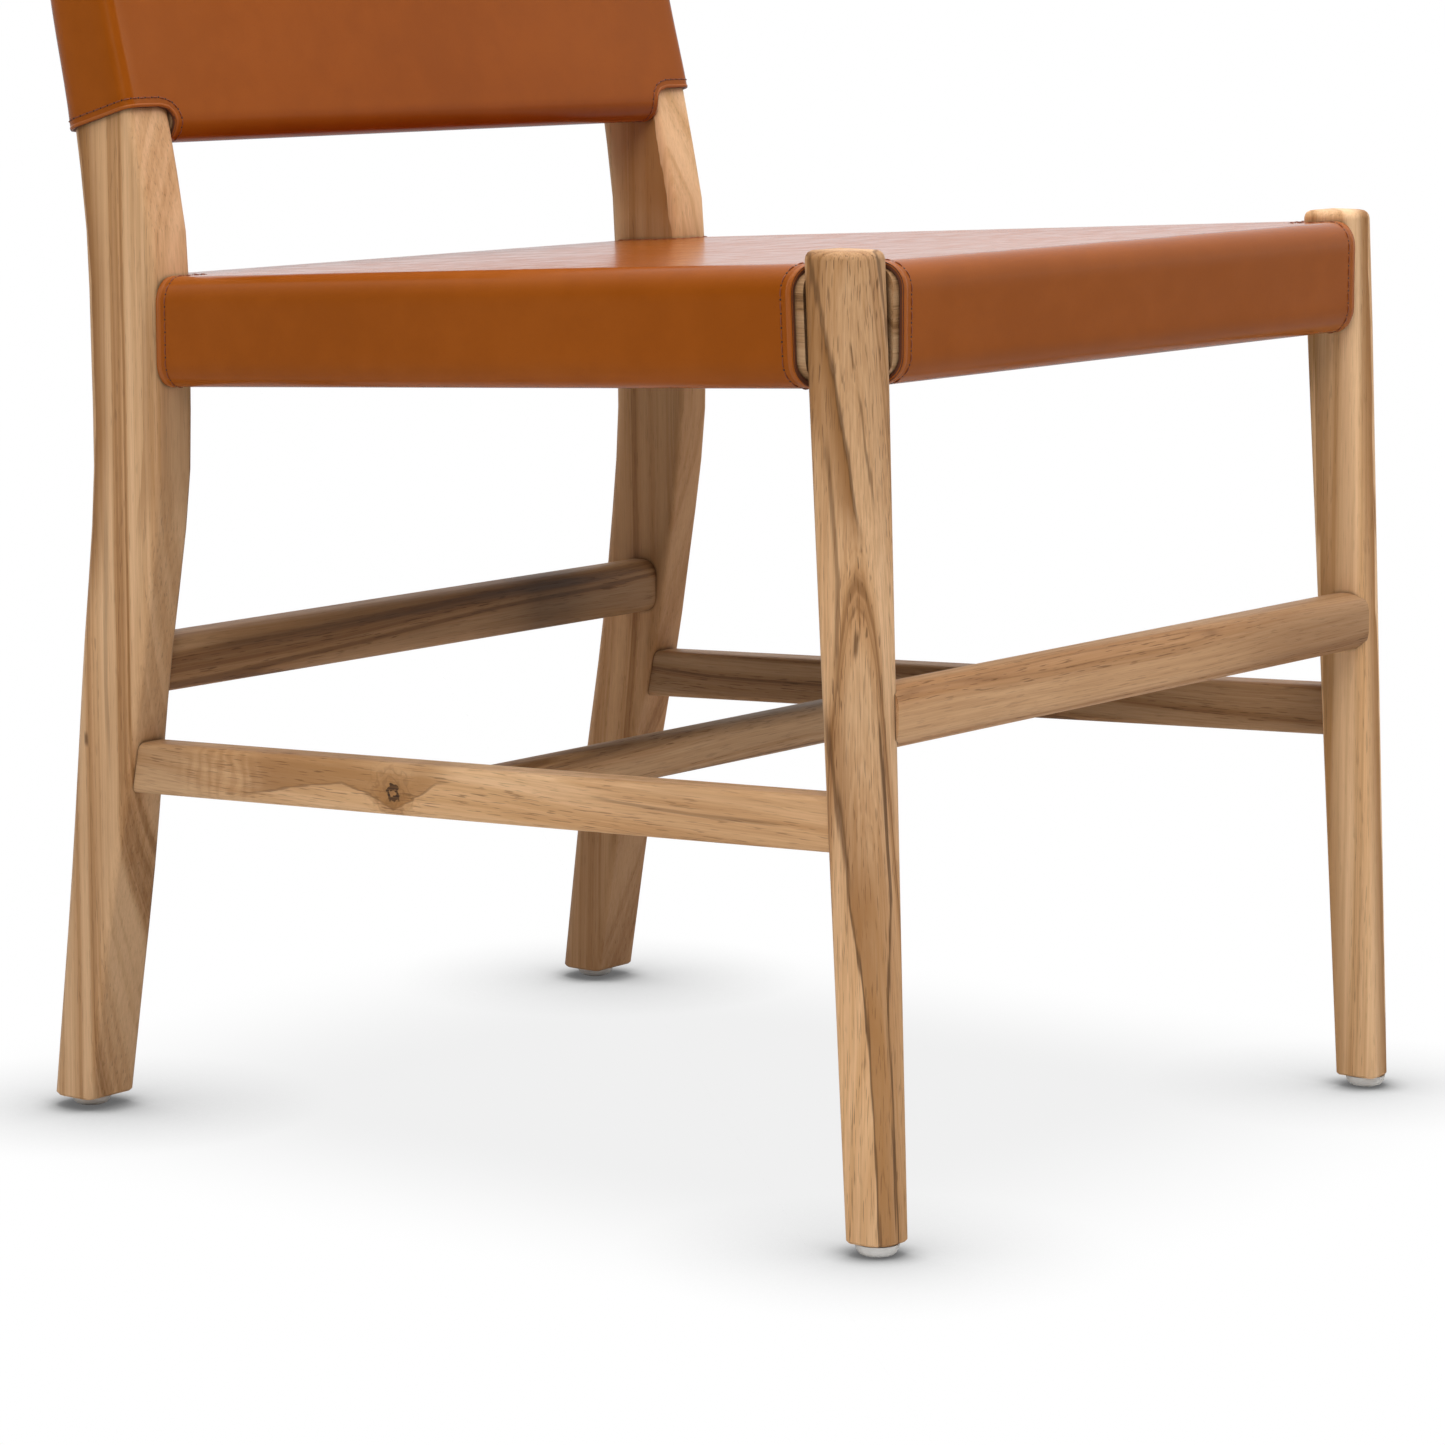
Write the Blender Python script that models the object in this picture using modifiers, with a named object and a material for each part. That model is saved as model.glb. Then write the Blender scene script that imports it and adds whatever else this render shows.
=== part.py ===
"""Teak dining chair with a leather seat and a leather back.

Metres, +Z up. The front of the chair faces -Y and its width runs along X. The origin is on the floor, under the
middle of the whole chair. While the chair is built, Y is measured from the centre of the front feet towards the
back, and one empty then carries every piece to its place.
"""

from math import cos, pi, sin, sqrt

import bmesh
import bpy
from mathutils import Vector

# Clearances and cutter overruns
FIT_GAP = 0.0003
OVERRUN = 0.012
LEAST_ROUND = 0.0004

# Seat frame: heights and places of the outer face of the leather
SEAT_HEIGHT = 0.4668
SEAT_FRONT_Y = 0.0030
SEAT_REAR_Y = 0.4995
SEAT_FRONT_HALF_WIDTH = 0.2430
SEAT_REAR_HALF_WIDTH = 0.2348
SEAT_DROP = 0.0268
SEAT_FRONT_DEPTH = 0.0583
SEAT_REAR_DEPTH = 0.0565
LEATHER = 0.0025
LEATHER_TURN_UNDER = 0.0180
NOTCH_FRONT_GAP = 0.0047
NOTCH_SIDE_GAP = 0.0052
NOTCH_REAR_GAP = 0.0012
RAIL_THICKNESS = 0.0220
RAIL_ROUND = 0.0105
RAIL_INNER_ROUND = 0.0015
LEDGE_WIDTH = 0.0100
PAD_THICKNESS = 0.0060
STRAP_THICKNESS = 0.0020
STRAP_WIDTH = 0.0500
STRAP_LEG_GAP = 0.0040
STRAP_COUNT = 5
DUST_COVER = 0.0010

# Front legs
GLIDE_HEIGHT = 0.0060
LEG_PROUD = 0.0047
FRONT_LEG_INSET = 0.0166
FRONT_SPLAY = 0.0029
FRONT_RAKE = 0.0230
FRONT_LEG_WIDTH = 0.0295
FRONT_FOOT_WIDTH = 0.0230
FRONT_OUTER_ROUND_SHARE = 0.47
FRONT_SIDE_ROUND_SHARE = 0.17
FRONT_INNER_ROUND_SHARE = 0.06
LEG_TOP_ROUND = 0.0045
FOOT_CHAMFER = 0.0012

# Rear legs: places of the stations by height, the front face there behind the seat's rear face, its depth and
# the thickness in X
REAR_LEG_INSET = 0.0006
REAR_FRONT_ROUND = 0.0040
REAR_BACK_ROUND = 0.0110
FOOT_FRONT_SHIFT = 0.0060
FOOT_DEPTH = 0.0305
FOOT_THICKNESS = 0.0350
ANKLE_HEIGHT_SHARE = 0.2142
ANKLE_FRONT_SHIFT = -0.0095
ANKLE_DEPTH = 0.0345
ANKLE_THICKNESS = 0.0345
WAIST_HEIGHT_SHARE = 0.5141
WAIST_FRONT_SHIFT = -0.0363
WAIST_DEPTH = 0.0472
WAIST_THICKNESS = 0.0255
KNEE_HEIGHT_SHARE = 0.7712
KNEE_FRONT_SHIFT = -0.0508
KNEE_DEPTH = 0.0513
KNEE_THICKNESS = 0.0275
HIP_BELOW_SEAT = 0.0268
HIP_FRONT_SHIFT = -0.0503
HIP_DEPTH = 0.0520
HIP_THICKNESS = 0.0285
HEM_ABOVE_SEAT = 0.0532
HEM_FRONT_SHIFT = -0.0359
HEM_DEPTH = 0.0455
HEM_THICKNESS = 0.0305
SHOULDER_ABOVE_SEAT = 0.1132
SHOULDER_FRONT_SHIFT = -0.0208
SHOULDER_DEPTH = 0.0420
SHOULDER_THICKNESS = 0.0310
TIP_FRONT_SHIFT = 0.0275
TIP_DEPTH = 0.0290
TIP_THICKNESS = 0.0300
REAR_LEG_RINGS = 26

# Stretchers: centre heights, sections and the face that shows in front of or behind the leg
FRONT_STRETCHER_Z_SHARE = 0.5441
FRONT_STRETCHER_HEIGHT = 0.0305
FRONT_STRETCHER_DEPTH = 0.0240
FRONT_STRETCHER_PROUD = 0.0020
FRONT_STRETCHER_ROUND = 0.0095
REAR_STRETCHER_Z_SHARE = 0.5120
REAR_STRETCHER_HEIGHT = 0.0305
REAR_STRETCHER_DEPTH = 0.0240
REAR_STRETCHER_SETBACK = 0.0045
REAR_STRETCHER_ROUND = 0.0085
SIDE_STRETCHER_FRONT_Z_SHARE = 0.4368
SIDE_STRETCHER_REAR_Z_SHARE = 0.4002
SIDE_STRETCHER_HEIGHT = 0.0268
SIDE_STRETCHER_WIDTH = 0.0200
SIDE_STRETCHER_REAR_INSET = 0.0147
SIDE_STRETCHER_ROUND = 0.0035
MIDDLE_STRETCHER_Y_SHARE = 0.4975
MIDDLE_STRETCHER_HEIGHT = 0.0225
MIDDLE_STRETCHER_DEPTH = 0.0200
MIDDLE_STRETCHER_ROUND = 0.0075

# Joinery
TENON_THICKNESS = 0.0090
RAIL_TENON = 0.0090
STRETCHER_TENON = 0.0140
MIDDLE_TENON = 0.0100
TENON_SHOULDER = 0.0060
COPE_REACH = 0.0045

# Back
BACK_ABOVE_SEAT = 0.0424
BACK_HEIGHT = 0.2888
TIP_PROUD = 0.0070
BACK_RAIL_HEIGHT = 0.0450
BACK_BOTTOM_FRONT_ROUND = 0.0150
BACK_BOTTOM_REAR_ROUND = 0.0050
BACK_TOP_ROUND = 0.0080
BACK_RINGS = 9
BACK_FILLING_RINGS = 4
EDGE_ROUND_SHARES = (0.3, 0.55)
HEM_RISE_FRONT = 0.0195
HEM_RISE_REAR = 0.0055
TOP_HEM_DROP_FRONT = 0.0130
TOP_HEM_DROP_REAR = 0.0095
HEM_GAP = 0.0012

# Corner blocks and their screws
BLOCK_REACH = 0.0420
BLOCK_MARGIN = 0.0050
BLOCK_LEG_GAP = 0.0020
SCREW_HEAD_RADIUS = 0.0042
SCREW_HEAD_HEIGHT = 0.0026
SCREW_RADIUS = 0.0020
SCREW_LENGTH = 0.0260
SCREW_GRIP = 0.0120
SCREW_POCKET_RADIUS = 0.0055

# Glides
GLIDE_RADIUS = 0.0105
GLIDE_DOME = 0.0018
NAIL_RADIUS = 0.0015
NAIL_LENGTH = 0.0230
NAIL_FLOOR = 0.0020

# Colours, roughness and metallic value of each kind of piece
FINISHES = {
    "teak": ((0.42, 0.25, 0.12), 0.50, 0.0),
    "leather": ((0.34, 0.12, 0.035), 0.42, 0.0),
    "foam": ((0.75, 0.70, 0.55), 0.90, 0.0),
    "webbing": ((0.05, 0.045, 0.04), 0.85, 0.0),
    "dust_cloth": ((0.012, 0.012, 0.013), 0.95, 0.0),
    "nylon": ((0.55, 0.55, 0.53), 0.45, 0.0),
    "steel": ((0.55, 0.55, 0.56), 0.35, 1.0),
}

# Places that follow from the sizes above
FRONT_LEG_TOP = SEAT_HEIGHT + LEG_PROUD
FRONT_TOP_X = SEAT_FRONT_HALF_WIDTH - FRONT_LEG_INSET
FRONT_FOOT_X = FRONT_TOP_X + FRONT_SPLAY
REAR_LEG_OUTER_X = SEAT_REAR_HALF_WIDTH - REAR_LEG_INSET
BACK_BOTTOM = SEAT_HEIGHT + BACK_ABOVE_SEAT
BACK_TOP = BACK_BOTTOM + BACK_HEIGHT
REAR_LEG_TOP = BACK_TOP + TIP_PROUD
ANKLE_HEIGHT = SEAT_HEIGHT * ANKLE_HEIGHT_SHARE
WAIST_HEIGHT = SEAT_HEIGHT * WAIST_HEIGHT_SHARE
KNEE_HEIGHT = SEAT_HEIGHT * KNEE_HEIGHT_SHARE
HIP_HEIGHT = SEAT_HEIGHT - HIP_BELOW_SEAT
HEM_HEIGHT = SEAT_HEIGHT + HEM_ABOVE_SEAT
SHOULDER_HEIGHT = SEAT_HEIGHT + SHOULDER_ABOVE_SEAT
FOOT_FRONT_Y = SEAT_REAR_Y + FOOT_FRONT_SHIFT
ANKLE_FRONT_Y = SEAT_REAR_Y + ANKLE_FRONT_SHIFT
WAIST_FRONT_Y = SEAT_REAR_Y + WAIST_FRONT_SHIFT
KNEE_FRONT_Y = SEAT_REAR_Y + KNEE_FRONT_SHIFT
HIP_FRONT_Y = SEAT_REAR_Y + HIP_FRONT_SHIFT
HEM_FRONT_Y = SEAT_REAR_Y + HEM_FRONT_SHIFT
SHOULDER_FRONT_Y = SEAT_REAR_Y + SHOULDER_FRONT_SHIFT
TIP_FRONT_Y = SEAT_REAR_Y + TIP_FRONT_SHIFT
FRONT_STRETCHER_Z = SEAT_HEIGHT * FRONT_STRETCHER_Z_SHARE
REAR_STRETCHER_Z = SEAT_HEIGHT * REAR_STRETCHER_Z_SHARE
SIDE_STRETCHER_FRONT_Z = SEAT_HEIGHT * SIDE_STRETCHER_FRONT_Z_SHARE
SIDE_STRETCHER_REAR_Z = SEAT_HEIGHT * SIDE_STRETCHER_REAR_Z_SHARE
SIDE_STRETCHER_REAR_X = REAR_LEG_OUTER_X - SIDE_STRETCHER_REAR_INSET
MIDDLE_STRETCHER_Y = SEAT_FRONT_Y + (SEAT_REAR_Y - SEAT_FRONT_Y) * MIDDLE_STRETCHER_Y_SHARE
SIDES = {"left": -1, "right": 1}


def new_collection(name):
    collection = bpy.data.collections.new(name)
    bpy.context.scene.collection.children.link(collection)
    return collection


def material(name, kind):
    """A Principled material of the piece's own."""
    colour, roughness, metallic = FINISHES[kind]
    made = bpy.data.materials.new(name)
    made.use_nodes = True
    shader = made.node_tree.nodes["Principled BSDF"]
    shader.inputs["Base Color"].default_value = (*colour, 1.0)
    shader.inputs["Roughness"].default_value = roughness
    shader.inputs["Metallic"].default_value = metallic
    made.diffuse_color = (*colour, 1.0)
    return made


def piece(name, bm, kind):
    """The bmesh as a named object of the chair."""
    bmesh.ops.recalc_face_normals(bm, faces=bm.faces)
    mesh = bpy.data.meshes.new(name)
    bm.to_mesh(mesh)
    bm.free()
    mesh.shade_smooth()
    mesh.set_sharp_from_angle(angle=pi / 6)
    mesh.materials.append(material(name, kind))
    made = bpy.data.objects.new(name, mesh)
    chair.objects.link(made)
    return made


def helper(name, bm):
    """The bmesh as a cutter or a joined shape, which isn't rendered."""
    bmesh.ops.recalc_face_normals(bm, faces=bm.faces)
    mesh = bpy.data.meshes.new(name)
    bm.to_mesh(mesh)
    bm.free()
    made = bpy.data.objects.new(name, mesh)
    made.hide_render = True
    made.display_type = "WIRE"
    cutters.objects.link(made)
    return made


def boolean(target, other, operation):
    modifier = target.modifiers.new(other.name, "BOOLEAN")
    modifier.operation = operation
    modifier.object = other
    modifier.solver = "EXACT"


def cut(target, *others):
    for other in others:
        boolean(target, other, "DIFFERENCE")


def box_mesh(corner):
    """A cube with each corner placed by corner(x sign, y sign, z sign)."""
    bm = bmesh.new()
    bmesh.ops.create_cube(bm, size=2)
    for vert in bm.verts:
        vert.co = corner(*(1 if value > 0 else -1 for value in vert.co))
    return bm


def edge_signs(edge):
    """The signs of a cube's edge: 0 along the axis that it runs along."""
    first, second = edge.verts[0].co, edge.verts[1].co
    return tuple(0 if a * b < 0 else (1 if a > 0 else -1) for a, b in zip(first, second))


def rounded_box(name, kind, corner, rounds, segments=4):
    """A placed box whose edges are rounded by rounds(x sign, y sign, z sign), where 0 marks the edge's direction."""
    bm = bmesh.new()
    bmesh.ops.create_cube(bm, size=2)
    weight = bm.edges.layers.float.new("bevel_weight_edge")
    wanted = {edge: rounds(*edge_signs(edge)) for edge in bm.edges}
    widest = max(wanted.values())
    for edge, radius in wanted.items():
        edge[weight] = radius / widest
    for vert in bm.verts:
        vert.co = corner(*(1 if value > 0 else -1 for value in vert.co))
    made = piece(name, bm, kind) if kind else helper(name, bm)
    bevel = made.modifiers.new("Round edges", "BEVEL")
    bevel.limit_method = "WEIGHT"
    bevel.width = widest
    bevel.segments = segments
    return made


def between(low, high):
    """The corner function of an upright box from low to high."""
    return lambda *signs: Vector(high[i] if signs[i] > 0 else low[i] for i in range(3))


def rounded_ring(x_span, y_span, z, rounds, segments=4):
    """A rounded rectangle at height z, counter-clockwise from its low corner, as a list of points.

    rounds are the radii at (low x, low y), (high x, low y), (high x, high y) and (low x, high y).
    """
    places = ((0, 0), (1, 0), (1, 1), (0, 1))
    points = []
    for turn, ((across, along), radius) in enumerate(zip(places, rounds)):
        radius = max(radius, LEAST_ROUND)
        centre_x = x_span[across] + (-radius if across else radius)
        centre_y = y_span[along] + (-radius if along else radius)
        for step in range(segments + 1):
            angle = pi + (turn + step / segments) * pi / 2
            points.append(Vector((centre_x + radius * cos(angle), centre_y + radius * sin(angle), z)))
    return points


def loft_mesh(rings):
    """A closed mesh over rings of equally many points."""
    bm = bmesh.new()
    rows = [[bm.verts.new(point) for point in ring] for ring in rings]
    for lower, upper in zip(rows, rows[1:]):
        for i, vert in enumerate(lower):
            j = (i + 1) % len(lower)
            bm.faces.new((vert, lower[j], upper[j], upper[i]))
    bm.faces.new(reversed(rows[0]))
    bm.faces.new(rows[-1])
    return bm


def smooth_value(table, height):
    """The value at a height, on a curve through (height, value) pairs that never overshoots them."""
    heights = [row[0] for row in table]
    values = [row[1] for row in table]
    if height <= heights[0]:
        return values[0]
    if height >= heights[-1]:
        return values[-1]
    slopes = [(b - a) / (q - p) for a, b, p, q in zip(values, values[1:], heights, heights[1:])]
    tangents = [slopes[0]]
    for before, after in zip(slopes, slopes[1:]):
        tangents.append(2 * before * after / (before + after) if before * after > 0 else 0.0)
    tangents.append(slopes[-1])
    i = next(k for k in range(len(slopes)) if height <= heights[k + 1])
    width = heights[i + 1] - heights[i]
    t = (height - heights[i]) / width
    return (
        values[i] * (1 + 2 * t) * (1 - t) ** 2
        + values[i + 1] * t * t * (3 - 2 * t)
        + width * tangents[i] * t * (1 - t) ** 2
        + width * tangents[i + 1] * t * t * (t - 1)
    )


# Where the legs' faces are


def front_leg_x(z):
    return FRONT_FOOT_X + (FRONT_TOP_X - FRONT_FOOT_X) * z / FRONT_LEG_TOP


def front_leg_y(z):
    return FRONT_RAKE * z / FRONT_LEG_TOP


def front_leg_width(z):
    taper_top = SEAT_HEIGHT - SEAT_FRONT_DEPTH
    share = min(max((z - GLIDE_HEIGHT) / (taper_top - GLIDE_HEIGHT), 0.0), 1.0)
    return FRONT_FOOT_WIDTH + (FRONT_LEG_WIDTH - FRONT_FOOT_WIDTH) * share


def front_leg_inner_x(z):
    return front_leg_x(z) - front_leg_width(z) / 2


def front_leg_rear_y(z):
    return front_leg_y(z) + front_leg_width(z) / 2


REAR_HEIGHTS = (
    GLIDE_HEIGHT,
    ANKLE_HEIGHT,
    WAIST_HEIGHT,
    KNEE_HEIGHT,
    HIP_HEIGHT,
    HEM_HEIGHT,
    SHOULDER_HEIGHT,
    REAR_LEG_TOP,
)
REAR_FRONTS = (
    FOOT_FRONT_Y,
    ANKLE_FRONT_Y,
    WAIST_FRONT_Y,
    KNEE_FRONT_Y,
    HIP_FRONT_Y,
    HEM_FRONT_Y,
    SHOULDER_FRONT_Y,
    TIP_FRONT_Y,
)
REAR_DEPTHS = (
    FOOT_DEPTH,
    ANKLE_DEPTH,
    WAIST_DEPTH,
    KNEE_DEPTH,
    HIP_DEPTH,
    HEM_DEPTH,
    SHOULDER_DEPTH,
    TIP_DEPTH,
)
REAR_THICKNESSES = (
    FOOT_THICKNESS,
    ANKLE_THICKNESS,
    WAIST_THICKNESS,
    KNEE_THICKNESS,
    HIP_THICKNESS,
    HEM_THICKNESS,
    SHOULDER_THICKNESS,
    TIP_THICKNESS,
)


def rear_leg_front_y(z):
    return smooth_value(tuple(zip(REAR_HEIGHTS, REAR_FRONTS)), z)


def rear_leg_back_y(z):
    return rear_leg_front_y(z) + smooth_value(tuple(zip(REAR_HEIGHTS, REAR_DEPTHS)), z)


def rear_leg_inner_x(z):
    return REAR_LEG_OUTER_X - smooth_value(tuple(zip(REAR_HEIGHTS, REAR_THICKNESSES)), z)


# Where the seat's faces are, as its outer leather face drawn in by an inset


def seat_share(y):
    return (y - SEAT_FRONT_Y) / (SEAT_REAR_Y - SEAT_FRONT_Y)


def seat_top(y, inset=0.0):
    return SEAT_HEIGHT - SEAT_DROP * seat_share(y) - inset


def seat_bottom(y, inset=0.0):
    depth = SEAT_FRONT_DEPTH + (SEAT_REAR_DEPTH - SEAT_FRONT_DEPTH) * seat_share(y)
    return seat_top(y) - depth + inset


def seat_half_width(y, inset=0.0):
    width = SEAT_FRONT_HALF_WIDTH + (SEAT_REAR_HALF_WIDTH - SEAT_FRONT_HALF_WIDTH) * seat_share(y)
    return width - inset


RAIL_INSET = LEATHER + FIT_GAP
LEDGE_DEPTH = PAD_THICKNESS + STRAP_THICKNESS + 2 * FIT_GAP


def seat_corner(x_sign, y_sign, z_sign, inset, plan_inset=None):
    """A corner of the seat's outer block, drawn in by the inset."""
    plan_inset = inset if plan_inset is None else plan_inset
    y = SEAT_REAR_Y - plan_inset if y_sign > 0 else SEAT_FRONT_Y + plan_inset
    z = seat_top(y, inset) if z_sign > 0 else seat_bottom(y, inset)
    return Vector((x_sign * seat_half_width(y, plan_inset), y, z))


# Legs


def end_insets(radius, steps):
    """(inset, distance from the end) of the rings of a rounded end, from the face to the side."""
    turns = [pi / 2 * step / steps for step in range(steps + 1)]
    return [(radius * (1 - sin(turn)), radius * (1 - cos(turn))) for turn in turns]


def front_leg_ring(z, side, inset=0.0):
    width = front_leg_width(z)
    half = width / 2 - inset
    centre_x, centre_y = side * front_leg_x(z), front_leg_y(z)
    outer = width * FRONT_OUTER_ROUND_SHARE - inset
    beside = width * FRONT_SIDE_ROUND_SHARE - inset
    inner = width * FRONT_INNER_ROUND_SHARE - inset
    rounds = (outer, beside, inner, beside) if side < 0 else (beside, outer, beside, inner)
    return rounded_ring(
        (centre_x - half, centre_x + half), (centre_y - half, centre_y + half), z, rounds, segments=5
    )


def front_leg(name, side):
    """A square post with its outer corner heavily rounded, tapered below the seat, with a rounded top."""
    rings = [front_leg_ring(GLIDE_HEIGHT, side, FOOT_CHAMFER)]
    rings.append(front_leg_ring(GLIDE_HEIGHT + FOOT_CHAMFER, side))
    rings.append(front_leg_ring(SEAT_HEIGHT - SEAT_FRONT_DEPTH, side))
    for inset, distance in reversed(end_insets(LEG_TOP_ROUND, 4)):
        rings.append(front_leg_ring(FRONT_LEG_TOP - distance, side, inset))
    return piece(name, loft_mesh(rings), "teak")


def rear_leg_ring(z, side, inset=0.0):
    inner, outer = rear_leg_inner_x(z) + inset, REAR_LEG_OUTER_X - inset
    x_span = (inner, outer) if side > 0 else (-outer, -inner)
    y_span = (rear_leg_front_y(z) + inset, rear_leg_back_y(z) - inset)
    front, back = REAR_FRONT_ROUND - inset, REAR_BACK_ROUND - inset
    return rounded_ring(x_span, y_span, z, (front, front, back, back))


def rear_leg(name, side):
    """A leg and back post in one: it bends at the seat, is thickest in X at the foot and slim at the stretchers."""
    low = GLIDE_HEIGHT + FOOT_CHAMFER
    high = REAR_LEG_TOP - LEG_TOP_ROUND
    rings = [rear_leg_ring(GLIDE_HEIGHT, side, FOOT_CHAMFER)]
    rings += [rear_leg_ring(low + (high - low) * i / REAR_LEG_RINGS, side) for i in range(REAR_LEG_RINGS)]
    for inset, distance in reversed(end_insets(LEG_TOP_ROUND, 4)):
        rings.append(rear_leg_ring(REAR_LEG_TOP - distance, side, inset))
    return piece(name, loft_mesh(rings), "teak")


# Tenons: each is joined to its rail and cut, with clearance, into the piece that holds it


def tenon(rail, holder, low, high, axis, into):
    """A stub tenon from low to high. It enters the holder along the axis, towards into."""
    boolean(rail, helper(rail.name + "_tenon", box_mesh(between(low, high))), "UNION")
    low, high = list(low), list(high)
    for i in range(3):
        low[i] -= FIT_GAP
        high[i] += FIT_GAP
    if into > 0:
        low[axis] -= OVERRUN
    else:
        high[axis] += OVERRUN
    cut(holder, helper(rail.name + "_mortise", box_mesh(between(low, high))))


def cross_tenons(rail, holders, y, z_span, face_x, length):
    """Tenons at both ends of a piece that runs along X, at the place y, into faces at face_x(z)."""
    middle = (z_span[0] + z_span[1]) / 2
    for name, side in SIDES.items():
        root = face_x(middle) - OVERRUN / 2
        tip = face_x(middle) + length
        low_x, high_x = (root, tip) if side > 0 else (-tip, -root)
        low = (low_x, y - TENON_THICKNESS / 2, z_span[0])
        high = (high_x, y + TENON_THICKNESS / 2, z_span[1])
        tenon(rail, holders[name], low, high, 0, side)


def along_tenons(rail, side, holders, x_pair, z_pair, face_pair, lengths):
    """Tenons at the front and rear ends of a piece that runs along Y.

    x_pair holds the tenons' centres, z_pair their height spans, face_pair the legs' faces as functions of height.
    """
    for into, holder, x, z_span, face, length in zip(
        (-1, 1), holders, x_pair, z_pair, face_pair, lengths
    ):
        y = face((z_span[0] + z_span[1]) / 2)
        tip, root = y + into * length, y - into * OVERRUN / 2
        low = (side * x - TENON_THICKNESS / 2, min(tip, root), z_span[0])
        high = (side * x + TENON_THICKNESS / 2, max(tip, root), z_span[1])
        tenon(rail, holder, low, high, 1, into)


# Seat frame


def cross_rail(name, y_outer, y_inner, face_x, holders, tenon_y, tenon_length):
    """The front or rear seat rail, between the legs' inner faces."""
    outward = 1 if y_outer > y_inner else -1

    def corner(x_sign, y_sign, z_sign):
        y = y_outer if y_sign == outward else y_inner
        z = seat_top(y, RAIL_INSET) if z_sign > 0 else seat_bottom(y, RAIL_INSET)
        return Vector((x_sign * (face_x(z) - FIT_GAP), y, z))

    def rounds(x_sign, y_sign, z_sign):
        if x_sign:
            return 0.0
        return RAIL_ROUND if y_sign == outward else RAIL_INNER_ROUND

    rail = rounded_box(name, "teak", corner, rounds)
    ledge_y = y_inner + outward * LEDGE_WIDTH
    span = sorted((ledge_y, y_inner - outward * OVERRUN))
    half = SEAT_FRONT_HALF_WIDTH

    def ledge_corner(x_sign, y_sign, z_sign):
        y = span[1] if y_sign > 0 else span[0]
        z = seat_top(y) + OVERRUN if z_sign > 0 else seat_top(y, RAIL_INSET) - LEDGE_DEPTH
        return Vector((x_sign * half, y, z))

    cut(rail, helper(name + "_ledge", box_mesh(ledge_corner)))
    middle = (y_outer + y_inner) / 2
    z_span = (
        seat_bottom(middle, RAIL_INSET) + TENON_SHOULDER,
        seat_top(middle, RAIL_INSET) - LEDGE_DEPTH - TENON_SHOULDER,
    )
    cross_tenons(rail, holders, tenon_y, z_span, face_x, tenon_length)
    return rail


def side_rail(name, side, front_leg_piece, rear_leg_piece):
    """A side seat rail, from the front leg's rear face to the rear leg's front face."""

    def end_point(y_sign, z_sign):
        y = SEAT_REAR_Y if y_sign > 0 else SEAT_FRONT_Y
        for _ in range(4):
            z = seat_top(y, RAIL_INSET) if z_sign > 0 else seat_bottom(y, RAIL_INSET)
            y = rear_leg_front_y(z) - FIT_GAP if y_sign > 0 else front_leg_rear_y(z) + FIT_GAP
        return y, z

    def corner(x_sign, y_sign, z_sign):
        y, z = end_point(y_sign, z_sign)
        inset = RAIL_INSET if x_sign == side else RAIL_INSET + RAIL_THICKNESS
        return Vector((side * seat_half_width(y, inset), y, z))

    def rounds(x_sign, y_sign, z_sign):
        if y_sign:
            return 0.0
        return RAIL_ROUND if x_sign == side else RAIL_INNER_ROUND

    rail = rounded_box(name, "teak", corner, rounds)

    def ledge_corner(x_sign, y_sign, z_sign):
        y = SEAT_REAR_Y if y_sign > 0 else SEAT_FRONT_Y
        inset = RAIL_INSET + RAIL_THICKNESS + (-LEDGE_WIDTH if x_sign == side else OVERRUN)
        z = seat_top(y) + OVERRUN if z_sign > 0 else seat_top(y, RAIL_INSET) - LEDGE_DEPTH
        return Vector((side * seat_half_width(y, inset), y, z))

    cut(rail, helper(name + "_ledge", box_mesh(ledge_corner)))
    ends = [end_point(y_sign, 1)[0] for y_sign in (-1, 1)]
    spans = [
        (
            seat_bottom(y, RAIL_INSET) + TENON_SHOULDER,
            seat_top(y, RAIL_INSET) - LEDGE_DEPTH - TENON_SHOULDER,
        )
        for y in ends
    ]
    centre = RAIL_INSET + RAIL_THICKNESS / 2
    x_pair = (front_leg_x(spans[0][1]), seat_half_width(ends[1], centre))
    along_tenons(
        rail,
        side,
        (front_leg_piece, rear_leg_piece),
        x_pair,
        spans,
        (front_leg_rear_y, rear_leg_front_y),
        (RAIL_TENON, STRETCHER_TENON),
    )
    return rail


# Stretchers


def cope(stretcher, holder_name, side):
    """Shapes a stretcher's end to the rounded face of a front leg that it runs into."""
    rings = [
        front_leg_ring(GLIDE_HEIGHT, side, -FIT_GAP),
        front_leg_ring(SEAT_HEIGHT - SEAT_FRONT_DEPTH, side, -FIT_GAP),
    ]
    cut(stretcher, helper(stretcher.name + "_cope_" + holder_name, loft_mesh(rings)))


def cross_stretcher(name, y_front, depth, z_centre, height, radius, face_x, holders, length, reach=0.0):
    """A stretcher along X between two inner faces. With a reach, it's coped to the front legs."""

    def corner(x_sign, y_sign, z_sign):
        z = z_centre + z_sign * height / 2
        y = y_front + (depth if y_sign > 0 else 0.0)
        return Vector((x_sign * (face_x(z) - FIT_GAP + reach), y, z))

    made = rounded_box(name, "teak", corner, lambda x_sign, y_sign, z_sign: 0.0 if x_sign else radius)
    if reach:
        for side_name, side in SIDES.items():
            cope(made, side_name, side)
    z_span = (z_centre - height / 2 + TENON_SHOULDER, z_centre + height / 2 - TENON_SHOULDER)
    cross_tenons(made, holders, y_front + depth / 2, z_span, face_x, length)
    return made


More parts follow.
